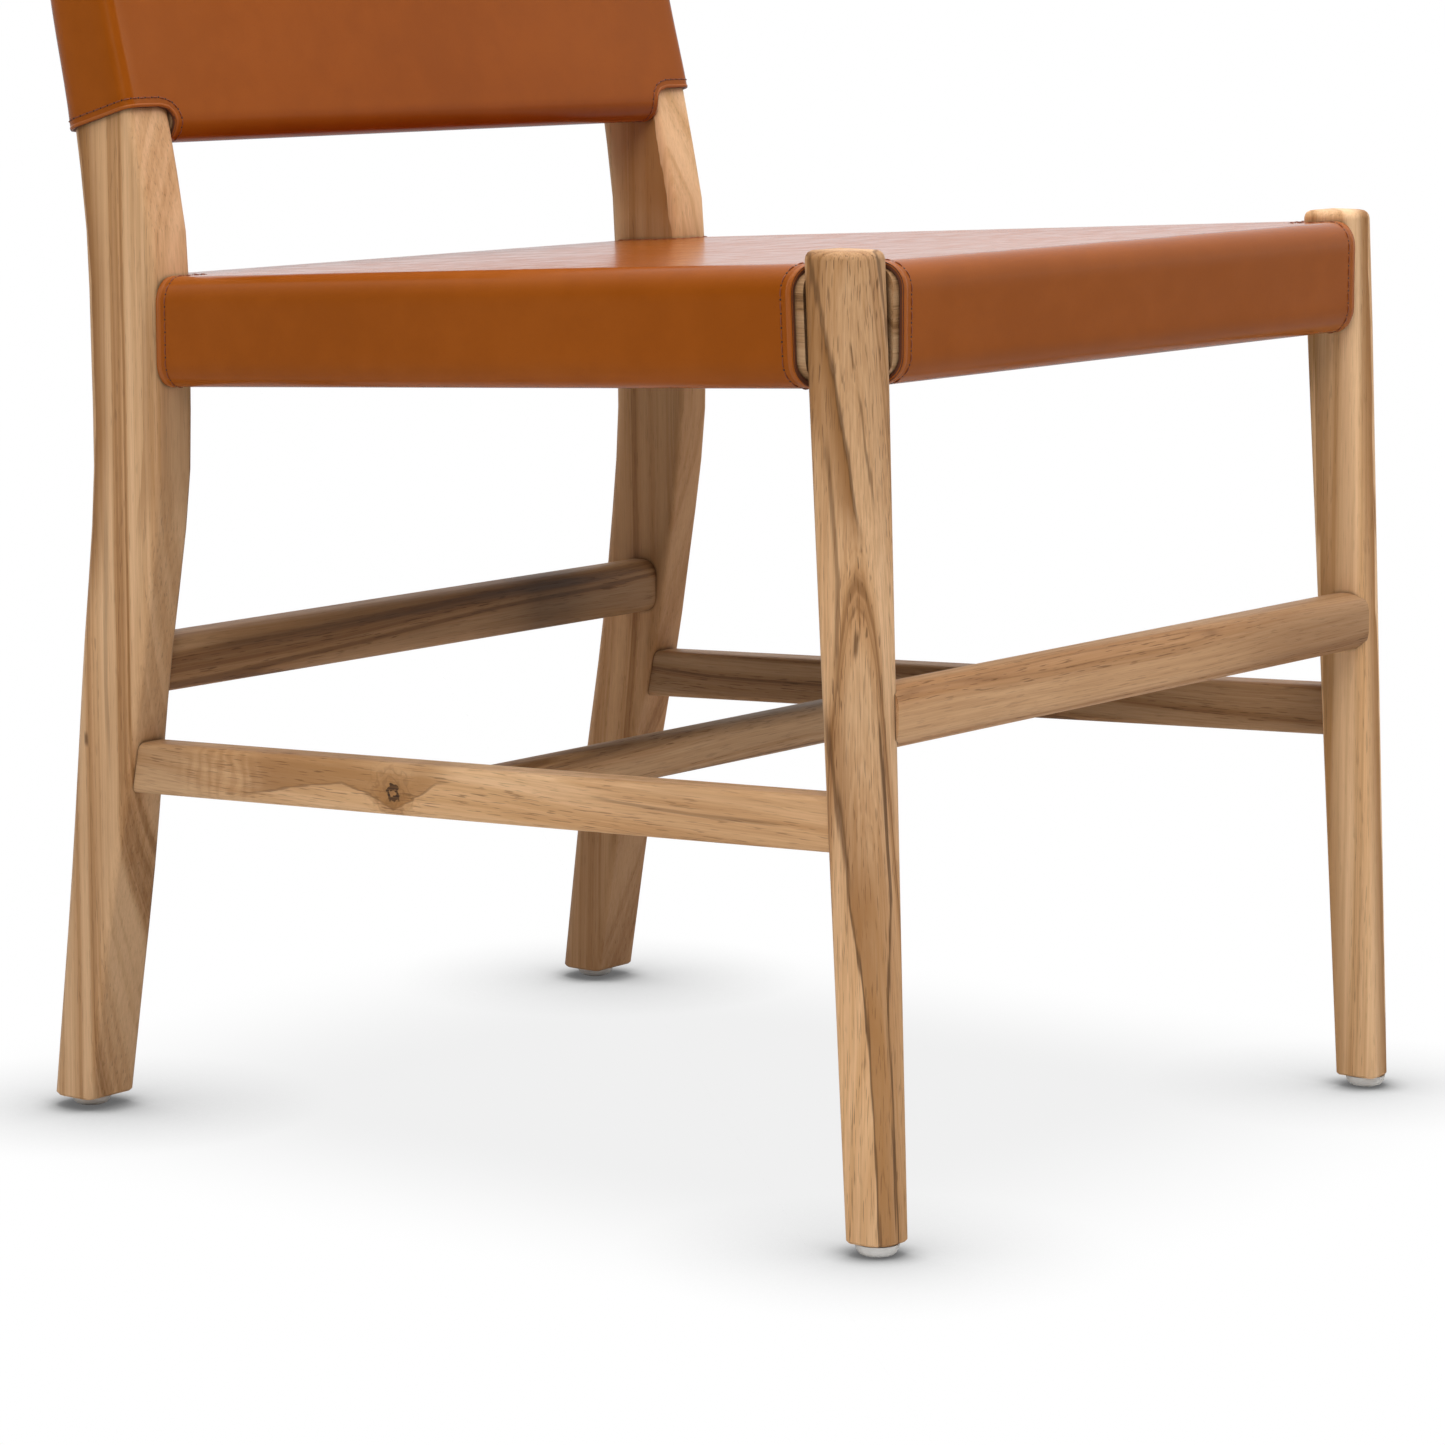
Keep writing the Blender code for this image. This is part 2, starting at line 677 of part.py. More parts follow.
def side_stretcher_x(y):
    """The centre of a side stretcher, which runs from leg to leg at a slight angle."""
    front_y = front_leg_rear_y(SIDE_STRETCHER_FRONT_Z)
    rear_y = rear_leg_front_y(SIDE_STRETCHER_REAR_Z)
    share = (y - front_y) / (rear_y - front_y)
    front_x = front_leg_x(SIDE_STRETCHER_FRONT_Z)
    return front_x + (SIDE_STRETCHER_REAR_X - front_x) * share


def side_stretcher_z(y):
    front_y = front_leg_rear_y(SIDE_STRETCHER_FRONT_Z)
    rear_y = rear_leg_front_y(SIDE_STRETCHER_REAR_Z)
    share = (y - front_y) / (rear_y - front_y)
    return SIDE_STRETCHER_FRONT_Z + (SIDE_STRETCHER_REAR_Z - SIDE_STRETCHER_FRONT_Z) * share


def side_stretcher(name, side, front_leg_piece, rear_leg_piece):
    def corner(x_sign, y_sign, z_sign):
        y = REAR_FRONTS[0] if y_sign > 0 else 0.0
        for _ in range(4):
            z = side_stretcher_z(y) + z_sign * SIDE_STRETCHER_HEIGHT / 2
            y = rear_leg_front_y(z) - FIT_GAP if y_sign > 0 else front_leg_rear_y(z) - COPE_REACH
        return Vector((side * side_stretcher_x(y) + x_sign * SIDE_STRETCHER_WIDTH / 2, y, z))

    made = rounded_box(
        name, "teak", corner, lambda x_sign, y_sign, z_sign: 0.0 if y_sign else SIDE_STRETCHER_ROUND
    )
    cope(made, "leg", side)
    reach = SIDE_STRETCHER_HEIGHT / 2 - TENON_SHOULDER
    centres = (SIDE_STRETCHER_FRONT_Z, SIDE_STRETCHER_REAR_Z)
    along_tenons(
        made,
        side,
        (front_leg_piece, rear_leg_piece),
        (front_leg_x(SIDE_STRETCHER_FRONT_Z), SIDE_STRETCHER_REAR_X),
        [(z - reach, z + reach) for z in centres],
        (front_leg_rear_y, rear_leg_front_y),
        (STRETCHER_TENON, STRETCHER_TENON),
    )
    return made


# Soft pieces and their supports


def leg_notches(low_z, high_z):
    """Corner cutters that clear the four legs, over the seat's height."""
    made = []
    far = SEAT_FRONT_HALF_WIDTH + OVERRUN
    for name, side in SIDES.items():

        def front_corner(x_sign, y_sign, z_sign, side=side):
            z = high_z if z_sign > 0 else low_z
            x = side * (far if x_sign == side else front_leg_inner_x(z) - NOTCH_FRONT_GAP)
            y = front_leg_rear_y(z) + NOTCH_SIDE_GAP if y_sign > 0 else SEAT_FRONT_Y - OVERRUN
            return Vector((x, y, z))

        def rear_corner(x_sign, y_sign, z_sign, side=side):
            z = high_z if z_sign > 0 else low_z
            x = side * (far if x_sign == side else rear_leg_inner_x(z) - NOTCH_REAR_GAP)
            return Vector((x, SEAT_REAR_Y + OVERRUN if y_sign > 0 else HIP_FRONT_Y - NOTCH_REAR_GAP, z))

        made.append(helper("front_notch_" + name, box_mesh(front_corner)))
        made.append(helper("rear_notch_" + name, box_mesh(rear_corner)))
    return made


def seat_leather(notches):
    """One hide over the seat frame: the top, the four wrapped sides and the edge turned under the rails."""

    def rounded_seat(name, kind, inset):
        return rounded_box(
            name,
            kind,
            lambda *signs: seat_corner(*signs, inset),
            lambda x_sign, y_sign, z_sign: RAIL_ROUND + RAIL_INSET - inset if z_sign else 0.0,
            segments=5,
        )

    leather = rounded_seat("seat_leather", "leather", 0.0)
    cut(leather, rounded_seat("seat_leather_inside", None, LEATHER))

    def opening(x_sign, y_sign, z_sign):
        point = seat_corner(x_sign, y_sign, z_sign, 0.0, LEATHER_TURN_UNDER)
        point.z = seat_bottom(point.y) + (SEAT_REAR_DEPTH / 2 if z_sign > 0 else -OVERRUN)
        return point

    cut(leather, helper("seat_leather_opening", box_mesh(opening)), *notches)
    return leather


def seat_pad(notches):
    """A thin pad that lies on the straps, level with the tops of the rails."""
    plan = RAIL_INSET + RAIL_THICKNESS - LEDGE_WIDTH + FIT_GAP

    def corner(x_sign, y_sign, z_sign):
        point = seat_corner(x_sign, y_sign, z_sign, 0.0, plan)
        point.z = seat_top(point.y, RAIL_INSET) - (0.0 if z_sign > 0 else PAD_THICKNESS)
        return point

    pad = piece("seat_pad", box_mesh(corner), "foam")
    cut(pad, *notches)
    return pad


def seat_strap(name, y_centre):
    """A webbing strap across the frame, with its ends on the side rails' ledges."""
    plan = RAIL_INSET + RAIL_THICKNESS - LEDGE_WIDTH + FIT_GAP

    def corner(x_sign, y_sign, z_sign):
        y = y_centre + y_sign * STRAP_WIDTH / 2
        under = PAD_THICKNESS + FIT_GAP
        z = seat_top(y, RAIL_INSET) - under - (0.0 if z_sign > 0 else STRAP_THICKNESS)
        return Vector((x_sign * seat_half_width(y, plan), y, z))

    return piece(name, box_mesh(corner), "webbing")


def dust_cover(notches):
    """A thin black cloth under the rails, inside the turned-under edge of the leather."""

    def corner(x_sign, y_sign, z_sign):
        point = seat_corner(x_sign, y_sign, z_sign, 0.0, LEATHER_TURN_UNDER + FIT_GAP)
        point.z = seat_bottom(point.y, RAIL_INSET) - FIT_GAP - (0.0 if z_sign > 0 else DUST_COVER)
        return point

    cover = piece("dust_cover", box_mesh(corner), "dust_cloth")
    cut(cover, *notches)
    return cover


def rail_inner_y(at_front):
    inset = RAIL_INSET + RAIL_THICKNESS
    return SEAT_FRONT_Y + inset if at_front else SEAT_REAR_Y - inset


def corner_block(name, side, at_front, rails):
    """A five-sided block in a corner of the seat frame, with a screw into each of its two rails."""
    reach = 1 if at_front else -1
    rail_y = rail_inner_y(at_front) + reach * FIT_GAP
    z_low = seat_bottom(rail_y, RAIL_INSET) + BLOCK_MARGIN
    z_high = seat_top(rail_y, RAIL_INSET) - LEDGE_DEPTH - BLOCK_MARGIN
    if at_front:
        leg_x = min(front_leg_inner_x(z_low), front_leg_inner_x(z_high)) - BLOCK_LEG_GAP
        leg_y = front_leg_rear_y(z_high) + BLOCK_LEG_GAP
    else:
        leg_x = min(rear_leg_inner_x(z_low), rear_leg_inner_x(z_high)) - BLOCK_LEG_GAP
        leg_y = min(rear_leg_front_y(z_low), rear_leg_front_y(z_high)) - BLOCK_LEG_GAP
    rail_inset = RAIL_INSET + RAIL_THICKNESS + FIT_GAP
    far_y = leg_y + reach * BLOCK_REACH
    outline = [
        (leg_x, rail_y),
        (leg_x, leg_y),
        (seat_half_width(leg_y, rail_inset), leg_y),
        (seat_half_width(far_y, rail_inset), far_y),
        (leg_x - BLOCK_REACH, rail_y),
    ]
    rings = [[Vector((side * x, y, z)) for x, y in outline] for z in (z_low, z_high)]
    block = piece(name, loft_mesh(rings), "teak")
    z = (z_low + z_high) / 2
    side_y = (leg_y + far_y) / 2
    side_point = Vector((side * seat_half_width(side_y, rail_inset), side_y, z))
    front_x = leg_x - BLOCK_REACH / 2
    front_point = Vector((side * front_x, rail_y, z))
    screw(name + "_screw_side", side_point, Vector((side, 0, 0)), (block, rails[0]))
    screw(name + "_screw_end", front_point, Vector((0, -reach, 0)), (block, rails[1]))
    return block


def rod_mesh(radius, start, end, sides=16):
    """A cylinder from start to end."""
    bm = bmesh.new()
    axis = end - start
    bmesh.ops.create_cone(
        bm, cap_ends=True, segments=sides, radius1=radius, radius2=radius, depth=axis.length
    )
    turn = Vector((0, 0, 1)).rotation_difference(axis.normalized()).to_matrix()
    for vert in bm.verts:
        vert.co = turn @ vert.co + (start + end) / 2
    return bm


def screw(name, face_point, direction, held):
    """A countersunk screw that crosses a block and enters the rail behind its face at face_point."""
    block, rail = held
    head = face_point - direction * SCREW_GRIP
    profile = (
        (SCREW_HEAD_RADIUS, 0.0),
        (SCREW_HEAD_RADIUS, SCREW_HEAD_HEIGHT / 4),
        (SCREW_RADIUS, SCREW_HEAD_HEIGHT),
        (SCREW_RADIUS, SCREW_LENGTH - 2 * SCREW_RADIUS),
        (SCREW_RADIUS / 4, SCREW_LENGTH),
    )
    turn = Vector((0, 0, 1)).rotation_difference(direction).to_matrix()
    sides = 16
    rings = [
        [
            turn @ Vector((radius * cos(2 * pi * i / sides), radius * sin(2 * pi * i / sides), depth)) + head
            for i in range(sides)
        ]
        for radius, depth in profile
    ]
    made = piece(name, loft_mesh(rings), "steel")
    hole_start, hole_end = head - direction * FIT_GAP, head + direction * (SCREW_LENGTH + FIT_GAP)
    hole = helper(name + "_hole", rod_mesh(SCREW_RADIUS + FIT_GAP, hole_start, hole_end))
    seat_end = head + direction * (SCREW_HEAD_HEIGHT + FIT_GAP)
    pocket = helper(
        name + "_pocket", rod_mesh(SCREW_POCKET_RADIUS, head - direction * 3 * OVERRUN, seat_end)
    )
    cut(block, hole, pocket)
    cut(rail, hole)
    return made


# Back


def round_inset(radius, distance):
    """How far a rounded edge is drawn in at a distance from the end that it rounds."""
    return radius - sqrt(radius**2 - (radius - distance) ** 2) if distance < radius else 0.0


def back_ring(z, inset, front_inset=0.0, rear_inset=0.0):
    """A ring round both posts at a height: the back's outer leather face, drawn in by the inset."""
    proud = RAIL_INSET - inset
    half = REAR_LEG_OUTER_X + proud
    y_span = (rear_leg_front_y(z) - proud + front_inset, rear_leg_back_y(z) + proud - rear_inset)
    depth = y_span[1] - y_span[0]
    front = min(REAR_FRONT_ROUND + proud, depth * EDGE_ROUND_SHARES[0])
    back = min(REAR_BACK_ROUND + proud, depth * EDGE_ROUND_SHARES[1])
    return rounded_ring((-half, half), y_span, z, (front, front, back, back))


def back_block(inset):
    """The back as a leaning block with rounded lower and upper edges."""
    low, high = BACK_BOTTOM + inset, BACK_TOP - inset
    front_round, rear_round = BACK_BOTTOM_FRONT_ROUND - inset, BACK_BOTTOM_REAR_ROUND - inset
    top_round = BACK_TOP_ROUND - inset
    rings = []
    for _, up in end_insets(front_round, 6):
        drawn = round_inset(front_round, up), round_inset(rear_round, up)
        rings.append(back_ring(low + up, inset, *drawn))
    start, end = low + front_round, high - top_round
    rings += [back_ring(start + (end - start) * i / BACK_RINGS, inset) for i in range(1, BACK_RINGS)]
    for drawn, down in reversed(end_insets(top_round, 4)):
        rings.append(back_ring(high - down, inset, drawn, drawn))
    return loft_mesh(rings)


def back_leather():
    """A sleeve over both posts and both back rails, open round each post below and above."""
    leather = piece("back_leather", back_block(0.0), "leather")
    cut(leather, helper("back_leather_inside", back_block(LEATHER)))
    far = REAR_LEG_OUTER_X + OVERRUN
    front_y, rear_y = HEM_FRONT_Y - OVERRUN, HEM_FRONT_Y + HEM_DEPTH + OVERRUN
    slope = (HEM_RISE_FRONT - HEM_RISE_REAR) / HEM_DEPTH
    top_front_y, top_rear_y = TIP_FRONT_Y - 2 * OVERRUN, TIP_FRONT_Y + TIP_DEPTH + OVERRUN
    for name, side in SIDES.items():

        def low_hem(x_sign, y_sign, z_sign, side=side):
            y = rear_y if y_sign > 0 else front_y
            rise = HEM_RISE_REAR - slope * OVERRUN if y_sign > 0 else HEM_RISE_FRONT + slope * OVERRUN
            z = BACK_BOTTOM + rise if z_sign > 0 else BACK_BOTTOM - OVERRUN
            inner = rear_leg_inner_x(BACK_BOTTOM) - HEM_GAP
            return Vector((side * (far if x_sign == side else inner), y, z))

        def high_hem(x_sign, y_sign, z_sign, side=side):
            y = top_rear_y if y_sign > 0 else top_front_y
            drop = TOP_HEM_DROP_REAR if y_sign > 0 else TOP_HEM_DROP_FRONT
            z = BACK_TOP + OVERRUN if z_sign > 0 else BACK_TOP - drop
            inner = rear_leg_inner_x(BACK_TOP) - HEM_GAP
            return Vector((side * (far if x_sign == side else inner), y, z))

        cut(leather, helper("low_hem_" + name, box_mesh(low_hem)))
        cut(leather, helper("high_hem_" + name, box_mesh(high_hem)))
    return leather


def back_filling(name, kind, z_span, low_rounds=(0.0, 0.0), high_rounds=(0.0, 0.0)):
    """A piece between the posts, as deep as they are, that follows their lean.

    low_rounds and high_rounds are the radii of its front and rear edges, below and above.
    """
    low, high = z_span
    heights = {low + (high - low) * i / BACK_FILLING_RINGS for i in range(BACK_FILLING_RINGS + 1)}
    if any(low_rounds):
        heights |= {low + up for _, up in end_insets(max(low_rounds), 5)}
    if any(high_rounds):
        heights |= {high - down for _, down in end_insets(max(high_rounds), 4)}
    rings = []
    for z in sorted(heights):
        half = rear_leg_inner_x(z) - FIT_GAP
        front, back = (
            max(round_inset(low_rounds[i], z - low), round_inset(high_rounds[i], high - z)) for i in (0, 1)
        )
        y_span = (rear_leg_front_y(z) + front, rear_leg_back_y(z) - back)
        rings.append([Vector((x * half, y_span[y], z)) for x, y in ((-1, 0), (1, 0), (1, 1), (-1, 1))])
    return piece(name, loft_mesh(rings), kind)


def back_rail(name, z_span, posts, **rounds):
    """A back rail with a tenon in each post."""
    rail = back_filling(name, "teak", z_span, **rounds)
    middle = (z_span[0] + z_span[1]) / 2
    y = (rear_leg_front_y(middle) + rear_leg_back_y(middle)) / 2
    tenon_span = (z_span[0] + 2 * TENON_SHOULDER, z_span[1] - 2 * TENON_SHOULDER)
    cross_tenons(rail, posts, y, tenon_span, rear_leg_inner_x, STRETCHER_TENON)
    return rail


# Feet


def glide(name, x, y, leg):
    """A nylon disc with a softened lower edge, on a nail that is driven into the foot."""
    sides = 28
    profile = [(GLIDE_RADIUS - GLIDE_DOME, 0.0)]
    profile += [
        (GLIDE_RADIUS - GLIDE_DOME * (1 - sin(turn)), GLIDE_DOME * (1 - cos(turn)))
        for turn in (pi / 6, pi / 3, pi / 2)
    ]
    profile.append((GLIDE_RADIUS, GLIDE_HEIGHT - FIT_GAP))
    rings = [
        [
            Vector((x + radius * cos(2 * pi * i / sides), y + radius * sin(2 * pi * i / sides), z))
            for i in range(sides)
        ]
        for radius, z in profile
    ]
    made = piece(name, loft_mesh(rings), "nylon")
    start, end = Vector((x, y, NAIL_FLOOR)), Vector((x, y, NAIL_FLOOR + NAIL_LENGTH))
    nail = piece(name + "_nail", rod_mesh(NAIL_RADIUS, start, end, 12), "steel")
    clearance = Vector((0, 0, FIT_GAP))
    hole = helper(name + "_hole", rod_mesh(NAIL_RADIUS + FIT_GAP, start - clearance, end + clearance, 12))
    cut(made, hole)
    cut(leg, hole)
    return made, nail


# The chair

for startup_object in list(bpy.data.objects):
    bpy.data.objects.remove(startup_object)
chair = new_collection("teak_dining_chair")
cutters = new_collection("cutters")

front_legs = {name: front_leg("front_leg_" + name, side) for name, side in SIDES.items()}
rear_legs = {name: rear_leg("rear_leg_" + name, side) for name, side in SIDES.items()}

front_rail_y = SEAT_FRONT_Y + RAIL_INSET
rear_rail_y = SEAT_REAR_Y - RAIL_INSET
rail_middle_z = SEAT_HEIGHT - SEAT_FRONT_DEPTH / 2
front_rail = cross_rail(
    "front_seat_rail",
    front_rail_y,
    front_rail_y + RAIL_THICKNESS,
    front_leg_inner_x,
    front_legs,
    front_leg_y(rail_middle_z),
    RAIL_TENON,
)
rear_rail = cross_rail(
    "rear_seat_rail",
    rear_rail_y,
    rear_rail_y - RAIL_THICKNESS,
    rear_leg_inner_x,
    rear_legs,
    rear_rail_y - RAIL_THICKNESS / 2,
    RAIL_TENON,
)
side_rails = {
    name: side_rail("side_seat_rail_" + name, side, front_legs[name], rear_legs[name])
    for name, side in SIDES.items()
}

front_stretcher_y = (
    front_leg_y(FRONT_STRETCHER_Z) - front_leg_width(FRONT_STRETCHER_Z) / 2 - FRONT_STRETCHER_PROUD
)
cross_stretcher(
    "front_stretcher",
    front_stretcher_y,
    FRONT_STRETCHER_DEPTH,
    FRONT_STRETCHER_Z,
    FRONT_STRETCHER_HEIGHT,
    FRONT_STRETCHER_ROUND,
    front_leg_inner_x,
    front_legs,
    STRETCHER_TENON,
    COPE_REACH,
)
cross_stretcher(
    "rear_stretcher",
    rear_leg_front_y(REAR_STRETCHER_Z) + REAR_STRETCHER_SETBACK,
    REAR_STRETCHER_DEPTH,
    REAR_STRETCHER_Z,
    REAR_STRETCHER_HEIGHT,
    REAR_STRETCHER_ROUND,
    rear_leg_inner_x,
    rear_legs,
    STRETCHER_TENON,
)
side_stretchers = {
    name: side_stretcher("side_stretcher_" + name, side, front_legs[name], rear_legs[name])
    for name, side in SIDES.items()
}
middle_y = MIDDLE_STRETCHER_Y - MIDDLE_STRETCHER_DEPTH / 2
side_face_x = side_stretcher_x(MIDDLE_STRETCHER_Y + MIDDLE_STRETCHER_DEPTH / 2) - SIDE_STRETCHER_WIDTH / 2
cross_stretcher(
    "middle_stretcher",
    middle_y,
    MIDDLE_STRETCHER_DEPTH,
    side_stretcher_z(MIDDLE_STRETCHER_Y),
    MIDDLE_STRETCHER_HEIGHT,
    MIDDLE_STRETCHER_ROUND,
    lambda z: side_face_x,
    side_stretchers,
    MIDDLE_TENON,
)

notches = leg_notches(SEAT_HEIGHT - 2 * SEAT_FRONT_DEPTH, SEAT_HEIGHT + OVERRUN)
seat_leather(notches)
seat_pad(notches)
dust_cover(notches)
strap_margin = STRAP_LEG_GAP + STRAP_WIDTH / 2
first_strap = front_leg_rear_y(SEAT_HEIGHT) + strap_margin
last_strap = HIP_FRONT_Y - strap_margin
for number in range(STRAP_COUNT):
    place = first_strap + (last_strap - first_strap) * number / (STRAP_COUNT - 1)
    seat_strap("seat_strap_%d" % (number + 1), place)
for name, side in SIDES.items():
    corner_block("corner_block_front_" + name, side, True, (side_rails[name], front_rail))
    corner_block("corner_block_rear_" + name, side, False, (side_rails[name], rear_rail))

lower_rail_top = BACK_BOTTOM + RAIL_INSET + BACK_RAIL_HEIGHT
upper_rail_bottom = BACK_TOP - RAIL_INSET - BACK_RAIL_HEIGHT
back_rail(
    "lower_back_rail",
    (BACK_BOTTOM + RAIL_INSET, lower_rail_top),
    rear_legs,
    low_rounds=(BACK_BOTTOM_FRONT_ROUND - RAIL_INSET, BACK_BOTTOM_REAR_ROUND - RAIL_INSET),
)
back_rail(
    "upper_back_rail",
    (upper_rail_bottom, BACK_TOP - RAIL_INSET),
    rear_legs,
    high_rounds=(BACK_TOP_ROUND - RAIL_INSET, BACK_TOP_ROUND - RAIL_INSET),
)
back_filling("back_pad", "foam", (lower_rail_top + FIT_GAP, upper_rail_bottom - FIT_GAP))
leather_back = back_leather()

for name, side in SIDES.items():
    glide("glide_front_" + name, side * FRONT_FOOT_X, 0.0, front_legs[name])
    rear_x = REAR_LEG_OUTER_X - FOOT_THICKNESS / 2
    glide("glide_rear_" + name, side * rear_x, FOOT_FRONT_Y + FOOT_DEPTH / 2, rear_legs[name])

front_edge = min(vert.co.y for vert in front_legs["left"].data.vertices)
rear_edge = max(vert.co.y for vert in leather_back.data.vertices)
centre = bpy.data.objects.new("chair_centre", None)
chair.objects.link(centre)
centre.location.y = -(front_edge + rear_edge) / 2
for made in list(chair.objects) + list(cutters.objects):
    if made is not centre:
        made.parent = centre
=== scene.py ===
"""Teak dining chair with a leather seat and back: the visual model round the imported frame."""

import random
from math import ceil, cos, exp, pi, radians, sin, sqrt

import bmesh
import bpy
from mathutils import Matrix, Vector
from mathutils.bvhtree import BVHTree


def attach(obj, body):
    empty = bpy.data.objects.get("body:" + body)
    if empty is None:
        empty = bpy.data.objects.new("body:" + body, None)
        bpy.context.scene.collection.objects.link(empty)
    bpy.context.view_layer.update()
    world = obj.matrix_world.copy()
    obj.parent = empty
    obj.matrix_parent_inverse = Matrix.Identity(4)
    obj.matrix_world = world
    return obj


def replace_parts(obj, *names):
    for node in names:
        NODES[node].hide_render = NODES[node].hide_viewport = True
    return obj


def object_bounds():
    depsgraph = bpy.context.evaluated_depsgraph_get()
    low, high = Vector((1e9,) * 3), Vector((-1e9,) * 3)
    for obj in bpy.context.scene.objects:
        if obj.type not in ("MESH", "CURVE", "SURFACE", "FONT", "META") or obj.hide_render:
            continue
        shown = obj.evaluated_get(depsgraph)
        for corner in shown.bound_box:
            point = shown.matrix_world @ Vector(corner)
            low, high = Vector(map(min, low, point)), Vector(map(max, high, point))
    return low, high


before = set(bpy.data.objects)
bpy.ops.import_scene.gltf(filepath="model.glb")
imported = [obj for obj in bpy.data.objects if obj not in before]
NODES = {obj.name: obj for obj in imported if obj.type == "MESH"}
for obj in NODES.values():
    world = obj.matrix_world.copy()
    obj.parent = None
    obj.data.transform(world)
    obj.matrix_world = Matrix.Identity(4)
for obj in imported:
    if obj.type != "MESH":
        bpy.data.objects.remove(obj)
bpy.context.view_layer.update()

ROOT = "root"
MM = 0.001

# The chair's own sizes, in metres, in the frame of the CAD. FRONT is where y = 0 of the sizes below is.
FRONT = -0.27265
SEAT_HEIGHT, SEAT_DROP = 0.4668, 0.0268
SEAT_FRONT_Y, SEAT_REAR_Y = 0.0030, 0.4995
SEAT_FRONT_HALF, SEAT_REAR_HALF = 0.2430, 0.2348
SEAT_FRONT_DEPTH, SEAT_REAR_DEPTH, SEAT_MEAN_DEPTH = 0.0583, 0.0565, 0.0575
SEAT_ROUND = 0.0133
TURN_UNDER = 0.0180
LEATHER = 0.0025
NOTCH_FRONT_GAP, NOTCH_SIDE_GAP, NOTCH_REAR_GAP = 0.0047, 0.0052, 0.0012
BACK_BOTTOM, BACK_TOP = 0.5092, 0.7980
BACK_RAIL_HEIGHT = 0.0450
GLIDE_RADIUS, GLIDE_TOP = 0.0105, 0.0060
# Front legs: the top and where the taper ends, the foot's place and how far the top moves in and back, and widths
LEG_TOP, LEG_TAPER_TOP = 0.4715, 0.4085
FOOT_X, LEG_SPLAY, LEG_RAKE = 0.2293, 0.0029, 0.0230
FOOT_WIDTH, LEG_WIDTH = 0.0230, 0.0295
# Rear legs: the front face's y, the depth and the thickness at these heights
REAR_HEIGHTS = (0.0060, 0.1000, 0.2400, 0.3600, 0.4400, 0.5200, 0.5800, 0.8050)
REAR_FRONTS = (0.5055, 0.4900, 0.4632, 0.4487, 0.4492, 0.4636, 0.4787, 0.5270)
REAR_DEPTHS = (0.0305, 0.0345, 0.0472, 0.0513, 0.0520, 0.0455, 0.0420, 0.0290)
REAR_THICKNESSES = (0.0350, 0.0345, 0.0255, 0.0275, 0.0285, 0.0305, 0.0310, 0.0300)
REAR_OUTER_X = 0.2342
HIP_FRONT_Y = 0.4492


def row(x, y, z):
    """A point of the chair's own sizes, in the row frame."""
    return Vector((x, y + FRONT, z))


def between(low, high, share):
    return low + (high - low) * share


def clamped(value):
    return min(max(value, 0.0), 1.0)


def steps(low, high, pitch, least=1):
    """Numbers from low to high, no more than a pitch apart."""
    count = max(least, int(ceil(abs(high - low) / pitch)))
    return [low + (high - low) * i / count for i in range(count + 1)]


def link(obj):
    bpy.context.scene.collection.objects.link(obj)
    return obj


def set_material(obj, material):
    obj.data.materials.clear()
    obj.data.materials.append(material)
    return obj


def mesh_piece(name, bm, material=None, closed=True):
    """A piece from a bmesh, smooth shaded, that rides on the chair."""
    if closed:
        bmesh.ops.recalc_face_normals(bm, faces=bm.faces)
    mesh = bpy.data.meshes.new(name)
    bm.to_mesh(mesh)
    bm.free()
    obj = smooth(link(bpy.data.objects.new(name, mesh)))
    if material:
        set_material(obj, material)
    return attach(obj, ROOT)


def smooth(obj):
    obj.data.polygons.foreach_set("use_smooth", [True] * len(obj.data.polygons))
    return obj


def modifier(obj, kind, **settings):
    made = obj.modifiers.new(kind.title(), kind)
    for key, value in settings.items():
        setattr(made, key, value)
    return made


def split_edges(obj, angle):
    """Keeps the shading sharp where faces meet by more than an angle in degrees."""
    modifier(obj, "EDGE_SPLIT", split_angle=radians(angle), use_edge_sharp=False)
    return obj


def applied(obj):
    """The object with its modifiers applied to its mesh."""
    graph = bpy.context.evaluated_depsgraph_get()
    made = bpy.data.meshes.new_from_object(obj.evaluated_get(graph))
    obj.modifiers.clear()
    obj.data = made
    return obj


# Where the legs' faces are, as in the CAD


def smooth_value(heights, values, height):
    """The value at a height, on a curve through the values at the heights that never overshoots them."""
    if height <= heights[0]:
        return values[0]
    if height >= heights[-1]:
        return values[-1]
    slopes = [(b - a) / (q - p) for a, b, p, q in zip(values, values[1:], heights, heights[1:])]
    tangents = [slopes[0]]
    for before, after in zip(slopes, slopes[1:]):
        tangents.append(2 * before * after / (before + after) if before * after > 0 else 0.0)
    tangents.append(slopes[-1])
    i = next(k for k in range(len(slopes)) if height <= heights[k + 1])
    width = heights[i + 1] - heights[i]
    t = (height - heights[i]) / width
    return (
        values[i] * (1 + 2 * t) * (1 - t) ** 2
        + values[i + 1] * t * t * (3 - 2 * t)
        + width * tangents[i] * t * (1 - t) ** 2
        + width * tangents[i + 1] * t * t * (t - 1)
    )


def rear_front_y(z):
    return smooth_value(REAR_HEIGHTS, REAR_FRONTS, z)


def rear_back_y(z):
    return rear_front_y(z) + smooth_value(REAR_HEIGHTS, REAR_DEPTHS, z)


def rear_inner_x(z):
    return REAR_OUTER_X - smooth_value(REAR_HEIGHTS, REAR_THICKNESSES, z)


def front_leg(z):
    """(centre x, centre y, half width) of a front leg at a height."""
    share = clamped((z - GLIDE_TOP) / (LEG_TAPER_TOP - GLIDE_TOP))
    half = between(FOOT_WIDTH, LEG_WIDTH, share) / 2
    return FOOT_X - LEG_SPLAY * z / LEG_TOP, LEG_RAKE * z / LEG_TOP, half


# Faces between lines of vertices, and small pieces laid on a surface: rolled edges, threads and needle holes


